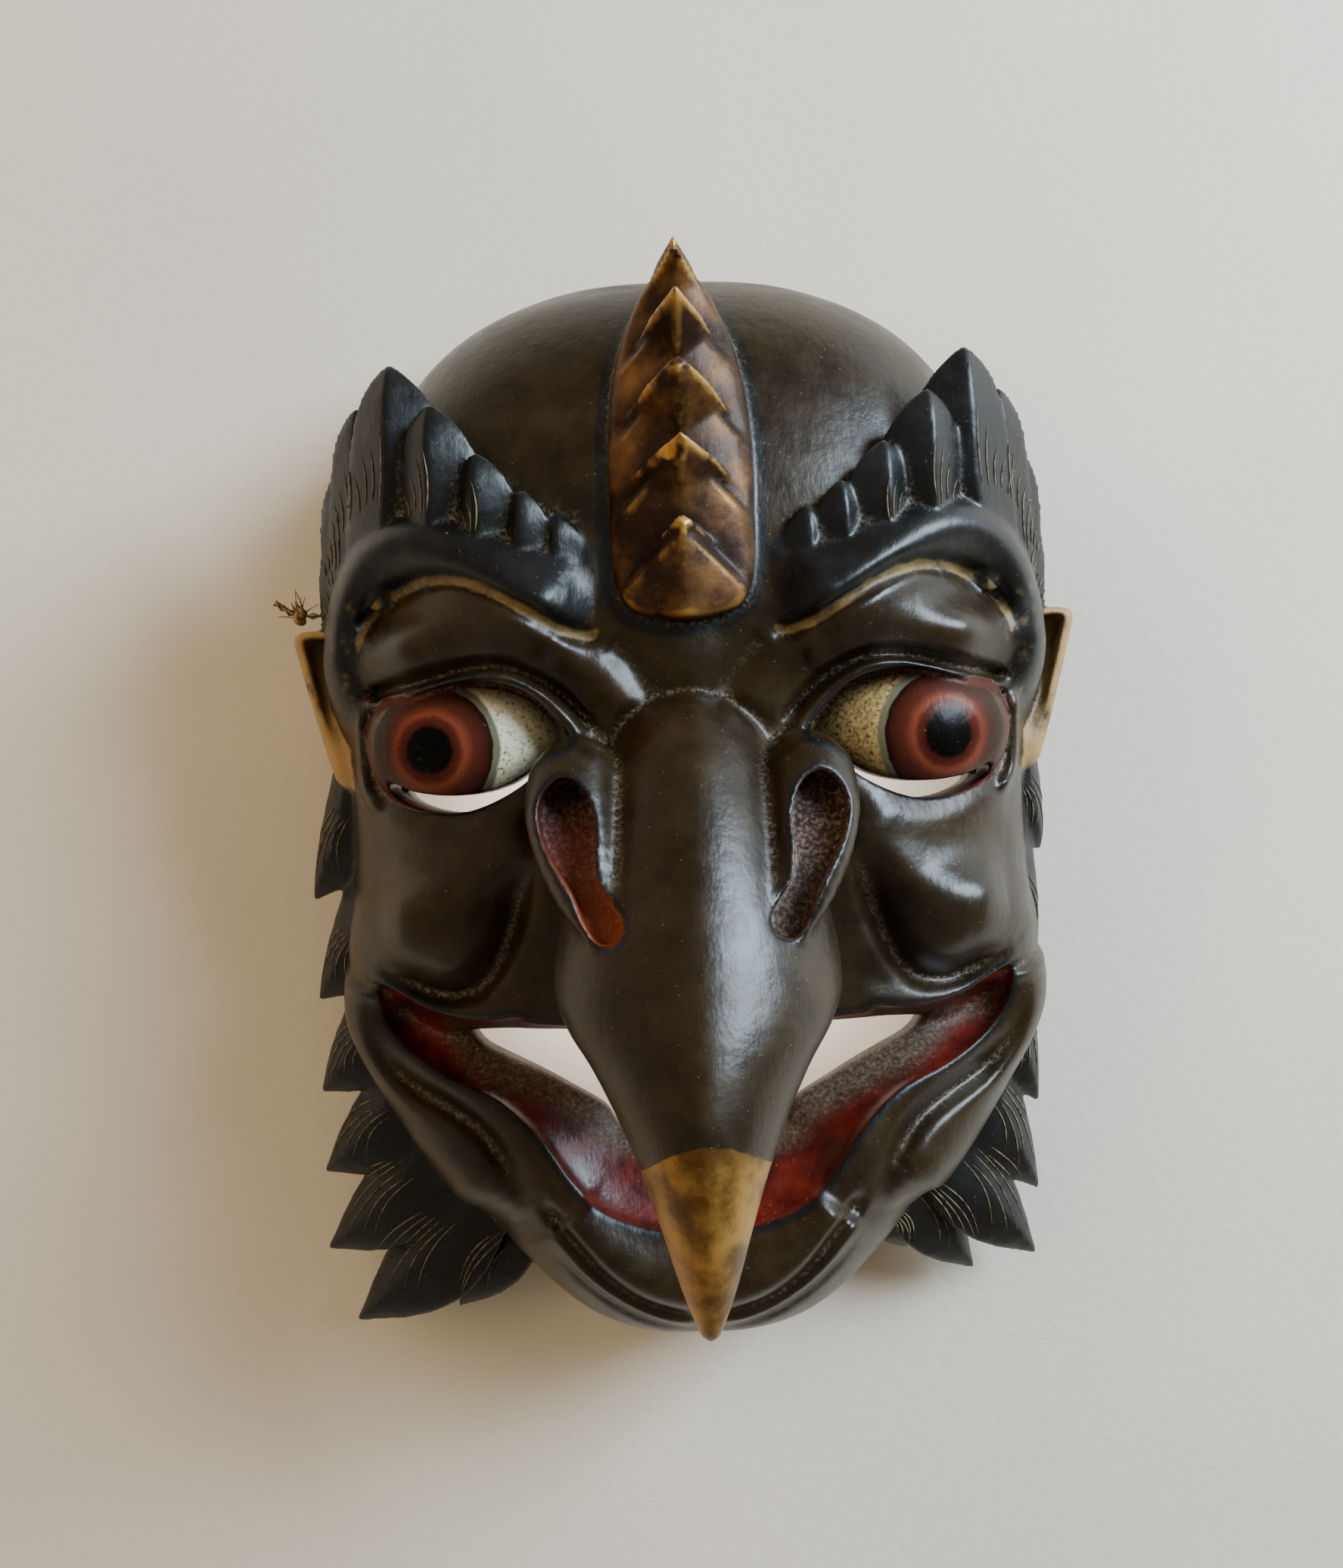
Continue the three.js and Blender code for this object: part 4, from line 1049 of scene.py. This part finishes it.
# ---- Operators -----------------------------------------------------------------------------------
class MASK_OT_stage(bpy.types.Operator):
    """Sets the camera above the mask, the plaster ground, the window light and the warm fill"""
    bl_idname = "mask.stage"
    bl_label = "Set the stage"

    def execute(self, context):
        stage = context.scene.mask_stage
        scene = context.scene
        camera = bpy.data.cameras.new("Camera")
        camera.sensor_fit = "VERTICAL"
        camera.sensor_height = 24
        camera.lens = 25.48
        holder = bpy.data.objects.new("Camera", camera)
        holder.location = (*to_frame((-3.2, 0, 0))[:2], stage.camera_height)
        holder.rotation_euler = (0, 0, stage.camera_turn)
        scene.collection.objects.link(holder)
        scene.camera = holder

        bend = np.linspace(0, math.pi / 2, 13)
        profile = [(0.05, 0.0), (0.4, 0.0)]
        profile += [(1.3 + 0.6 * math.sin(t), 0.6 - 0.6 * math.cos(t)) for t in bend] + [(1.9, 2.2)]
        around = np.linspace(0, math.tau, 72, endpoint=False)
        ring = [(r * math.cos(a), r * math.sin(a), z) for r, z in profile for a in around]
        count = len(around)
        faces = []
        for row in range(0, (len(profile) - 1) * count, count):
            faces += [(row + j, row + count + j, row + count + (j + 1) % count, row + (j + 1) % count)
                      for j in range(count)]
        mesh = bpy.data.meshes.new("Floor")
        mesh.from_pydata(ring, [], faces + [tuple(range(count))])
        mesh.shade_smooth()
        floor = bpy.data.objects.new("Floor", mesh)
        floor.data.materials.append(plaster(stage.plaster))
        scene.collection.objects.link(floor)

        middle = Vector((0, 0, 0.04))
        for name, kind_size, place, power, colour in (
            ("Window", (0.34, 0.5), (0.6, 0.34, 0.46), stage.window, (0.7, 0.86, 1.0)),
            ("Warm fill", (0.8, 0.8), (-0.7, 0.3, 0.62), stage.lamp, (1.0, 0.74, 0.46)),
            ("Glow behind the mask", (0.07, 0.11), (0, 0.01, 0.026), stage.glow, (1.0, 0.97, 0.92)),
        ):
            light = bpy.data.lights.new(name, "AREA")
            light.shape = "RECTANGLE"
            light.size, light.size_y = kind_size
            light.energy = power
            light.color = colour
            lamp = bpy.data.objects.new(name, light)
            lamp.location = place
            # the glow lies between the mask and the floor, and shines straight down
            downwards = place[2] < middle.z
            aim = (middle - Vector(place)).to_track_quat("-Z", "Y").to_euler()
            lamp.rotation_euler = (0, 0, 0) if downwards else aim
            lamp.visible_camera = not downwards
            lamp.visible_glossy = name != "Warm fill"
            scene.collection.objects.link(lamp)
        world = bpy.data.worlds.new("Room")
        scene.world = world
        world.use_nodes = True
        sky = world.node_tree.nodes["Background"].inputs
        sky["Color"].default_value = linear("e2d3b4")
        sky["Strength"].default_value = 0.36
        return {"FINISHED"}


class MASK_OT_cord(bpy.types.Operator):
    """Twists the tie cord, knots it outside the head and frays its end"""
    bl_idname = "mask.cord"
    bl_label = "Make the tie cord"

    def execute(self, context):
        settings = context.scene.mask_cord
        fibre = plant_fibre(settings.colour)
        route = to_frame(spline(CORD_ROUTE, 31))
        strand = settings.radius / 2.05
        sizes = {"Strand radius": strand, "Turn length": settings.twist}
        line = swept_curves("line", [route], [np.ones(len(route))])
        cord = sweep(line, fibre, "tie_cord", sizes, strands=3, sides=8)
        stand_in(cord, "cord")

        turn = np.linspace(0, math.tau, 49)
        loops = np.sin(turn) + 2 * np.sin(2 * turn), np.cos(turn) - 2 * np.cos(2 * turn)
        knot = np.stack([*loops, -np.sin(3 * turn)], 1)
        centre = np.array(CORD_ROUTE[1])
        wound = to_frame(centre + knot[:, (2, 0, 1)] * (0.6, 0.5, 0.5))
        rng = np.random.default_rng(11)
        lines, radii = [wound], [np.full(len(wound), 1.0)]
        for _ in range(settings.fibres):
            away = np.array((-0.5, 1.0, 0.35)) + rng.normal(0, 0.42, 3)
            reach = rng.uniform(1.8, 4.0)
            sag = rng.normal(0, 0.6, 3)
            steps = np.linspace(0, 1, 7)[:, None]
            foot = centre + rng.normal(0, 0.4, 3)
            hair = foot + away / np.linalg.norm(away) * reach * steps + sag * steps**2
            lines.append(to_frame(hair))
            radii.append(np.linspace(0.3, 0.12, 7))
        knotted = sweep(swept_curves("knot", lines, radii), fibre, "knot_and_tuft",
                        {"Strand radius": settings.radius * 0.8, "Turn length": settings.twist}, sides=6)
        stand_in(knotted, "cord")
        return {"FINISHED"}


class MASK_OT_carve(bpy.types.Operator):
    """Carves the hollow shell with its beak, crest, feathers and ears, and paints it"""
    bl_idname = "mask.carve"
    bl_label = "Carve and paint the mask"

    def execute(self, context):
        settings = context.scene.mask_carving
        grid = settings.grid / MM
        carving = Carving(grid)
        axes = carving.whole.axes
        slopes = np.gradient(carving.wood, grid)
        points, quads = surface_net(carving.wood, axes)
        points, _ = settle(points, carving.wood, slopes, axes)
        rough = bpy.data.objects.new("mask_block", new_mesh("mask_block", points, quads))
        context.scene.collection.objects.link(rough)
        thin = rough.modifiers.new("Thin", "DECIMATE")
        thin.ratio = min(1, settings.triangles / (2 * len(quads)))
        graph = context.evaluated_depsgraph_get()
        mesh = bpy.data.meshes.new_from_object(rough.evaluated_get(graph))
        bpy.data.objects.remove(rough)
        mesh.name = "mask_shell"
        points = np.empty(len(mesh.vertices) * 3, np.float32)
        mesh.vertices.foreach_get("co", points)
        points, normals = settle(points.reshape(-1, 3).astype(float), carving.wood, slopes, axes, 1)
        points[:, 2] = np.maximum(points[:, 2], 0)
        mesh.vertices.foreach_set("co", points.astype(np.float32).ravel())
        zones = paint_zones(points, carving)
        zones["roundness"] = roundness(mesh, normals)
        for name, values in zones.items():
            mesh.attributes.new(name, "FLOAT", "POINT").data.foreach_set("value", values.astype(np.float32))
        mesh.vertices.foreach_set("co", to_frame(points).astype(np.float32).ravel())
        mesh.update()
        mesh.shade_smooth()
        mesh.normals_split_custom_set_from_vertices(normals)
        shell = bpy.data.objects.new("mask_shell", mesh)
        mesh.materials.append(painted_wood(context.scene.mask_paint, SHIFT))
        stand_in(shell, "mask")
        return {"FINISHED"}


class MASK_OT_hairlines(bpy.types.Operator):
    """Brushes the fine pale strokes that fan from the foot of each feather"""
    bl_idname = "mask.hairlines"
    bl_label = "Brush the hairlines"

    def execute(self, context):
        shell = bpy.data.objects.get("mask_shell")
        if shell is None:
            raise RuntimeError("carve the mask before its hairlines are brushed on")
        ground = BVHTree.FromObject(shell, context.evaluated_depsgraph_get())
        quill = shell.data.attributes["quill"].data
        rng = np.random.default_rng(5)
        lines, radii = [], []

        def stroke(start, end, bow, weight):
            axis = end - start
            across = np.array((-axis[1], axis[0])) / max(np.hypot(*axis), 1e-6)
            line = []
            for t in np.linspace(0, 1, 15):
                spot = start + axis * t + across * bow * math.sin(math.pi * t)
                top = to_frame((*spot, 140))
                hit, normal, face, _ = ground.ray_cast(Vector(top), Vector((0, 0, -1)))
                if hit is None or hit.z < 4 * MM:
                    break
                if quill[shell.data.polygons[face].vertices[0]].value < 0.15:
                    if len(line) > 5:
                        break
                    line.clear()
                    continue
                if line and abs(hit.z - line[-1][2]) > 2.4 * MM:
                    break
                line.append(np.array(hit + normal * 0.06 * MM))
            if len(line) > 5:
                u = np.linspace(0, 1, len(line))
                lines.append(line)
                radii.append(weight * np.minimum(1, np.minimum(u * 5 + 0.2, (1 - u) * 2.2 + 0.12)))

        # where strokes begin, how they spread, how uneven their ends are, bow, weight, and each one's share of
        # the half width and of the length
        brow_strokes = [(0.1 + 0.17 * k, 0.72 - 0.09 * k) for k in range(5)]
        jaw_strokes = [(-0.55 + 0.22 * k, 0.86 - 0.05 * abs(k - 2)) for k in range(6)]
        brow_fan = (BROW_FEATHERS[3:], 0.3, (0.9, 1.15), 0.04, 0.5, 1, brow_strokes)
        for side, feathers in ((-1, LEFT_JAW_FEATHERS), (1, RIGHT_JAW_FEATHERS)):
            jaw_fan = (feathers, 0.34, (0.55, 0.85), 0.05, 1.4, 1.1, jaw_strokes)
            for rows, begin, spread, jitter, bow, weight, strokes in (brow_fan, jaw_fan):
                for root, tip, width, _, _ in rows:
                    foot = np.array(root[:2])
                    span = np.array(tip[:2]) - foot
                    over = width * np.array((span[1], -span[0])) / np.hypot(*span)
                    for share, reach in strokes:
                        start = foot + span * (begin + rng.uniform(-0.03, 0.05)) + over * share * spread[0]
                        end = foot + span * (reach + rng.uniform(-jitter, jitter)) + over * share * spread[1]
                        stroke(start * (side, 1), end * (side, 1), side * bow, weight)
        material = brushed_line(context.scene.mask_paint.hairline)
        curves = swept_curves("strokes", lines, radii)
        sizes = {"Strand radius": 0.13 * MM, "Turn length": 1.0}
        drawn = sweep(curves, material, "feather_hairlines", sizes, sides=4)
        stand_in(drawn, "mask")
        return {"FINISHED"}


class MASK_PT_panel(bpy.types.Panel):
    """Lists the steps of making the mask and the sizes and colours behind them"""
    bl_idname = "MASK_PT_panel"
    bl_label = "Bird-faced mask"
    bl_space_type = "VIEW_3D"
    bl_region_type = "UI"
    bl_category = "Mask"

    def draw(self, context):
        for step, group in STEPS:
            self.layout.operator(step.bl_idname)
            settings = getattr(context.scene, group)
            for name in settings.__annotations__:
                self.layout.prop(settings, name)


GROUPS = {
    "mask_stage": MaskStage, "mask_cord": MaskCord, "mask_carving": MaskCarving, "mask_paint": MaskPaint,
}
STEPS = (
    (MASK_OT_stage, "mask_stage"), (MASK_OT_cord, "mask_cord"), (MASK_OT_carve, "mask_carving"),
    (MASK_OT_hairlines, "mask_paint"),
)


def register():
    for name, group in GROUPS.items():
        bpy.utils.register_class(group)
        setattr(bpy.types.Scene, name, PointerProperty(type=group))
    for step, _ in STEPS:
        bpy.utils.register_class(step)
    bpy.utils.register_class(MASK_PT_panel)


def unregister():
    bpy.utils.unregister_class(MASK_PT_panel)
    for step, _ in reversed(STEPS):
        bpy.utils.unregister_class(step)
    for name, group in reversed(GROUPS.items()):
        delattr(bpy.types.Scene, name)
        bpy.utils.unregister_class(group)


def main():
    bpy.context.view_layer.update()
    register()
    bpy.ops.mask.stage()
    bpy.ops.mask.cord()
    bpy.ops.mask.carve()
    bpy.ops.mask.hairlines()


if __name__ == "__main__":
    main()
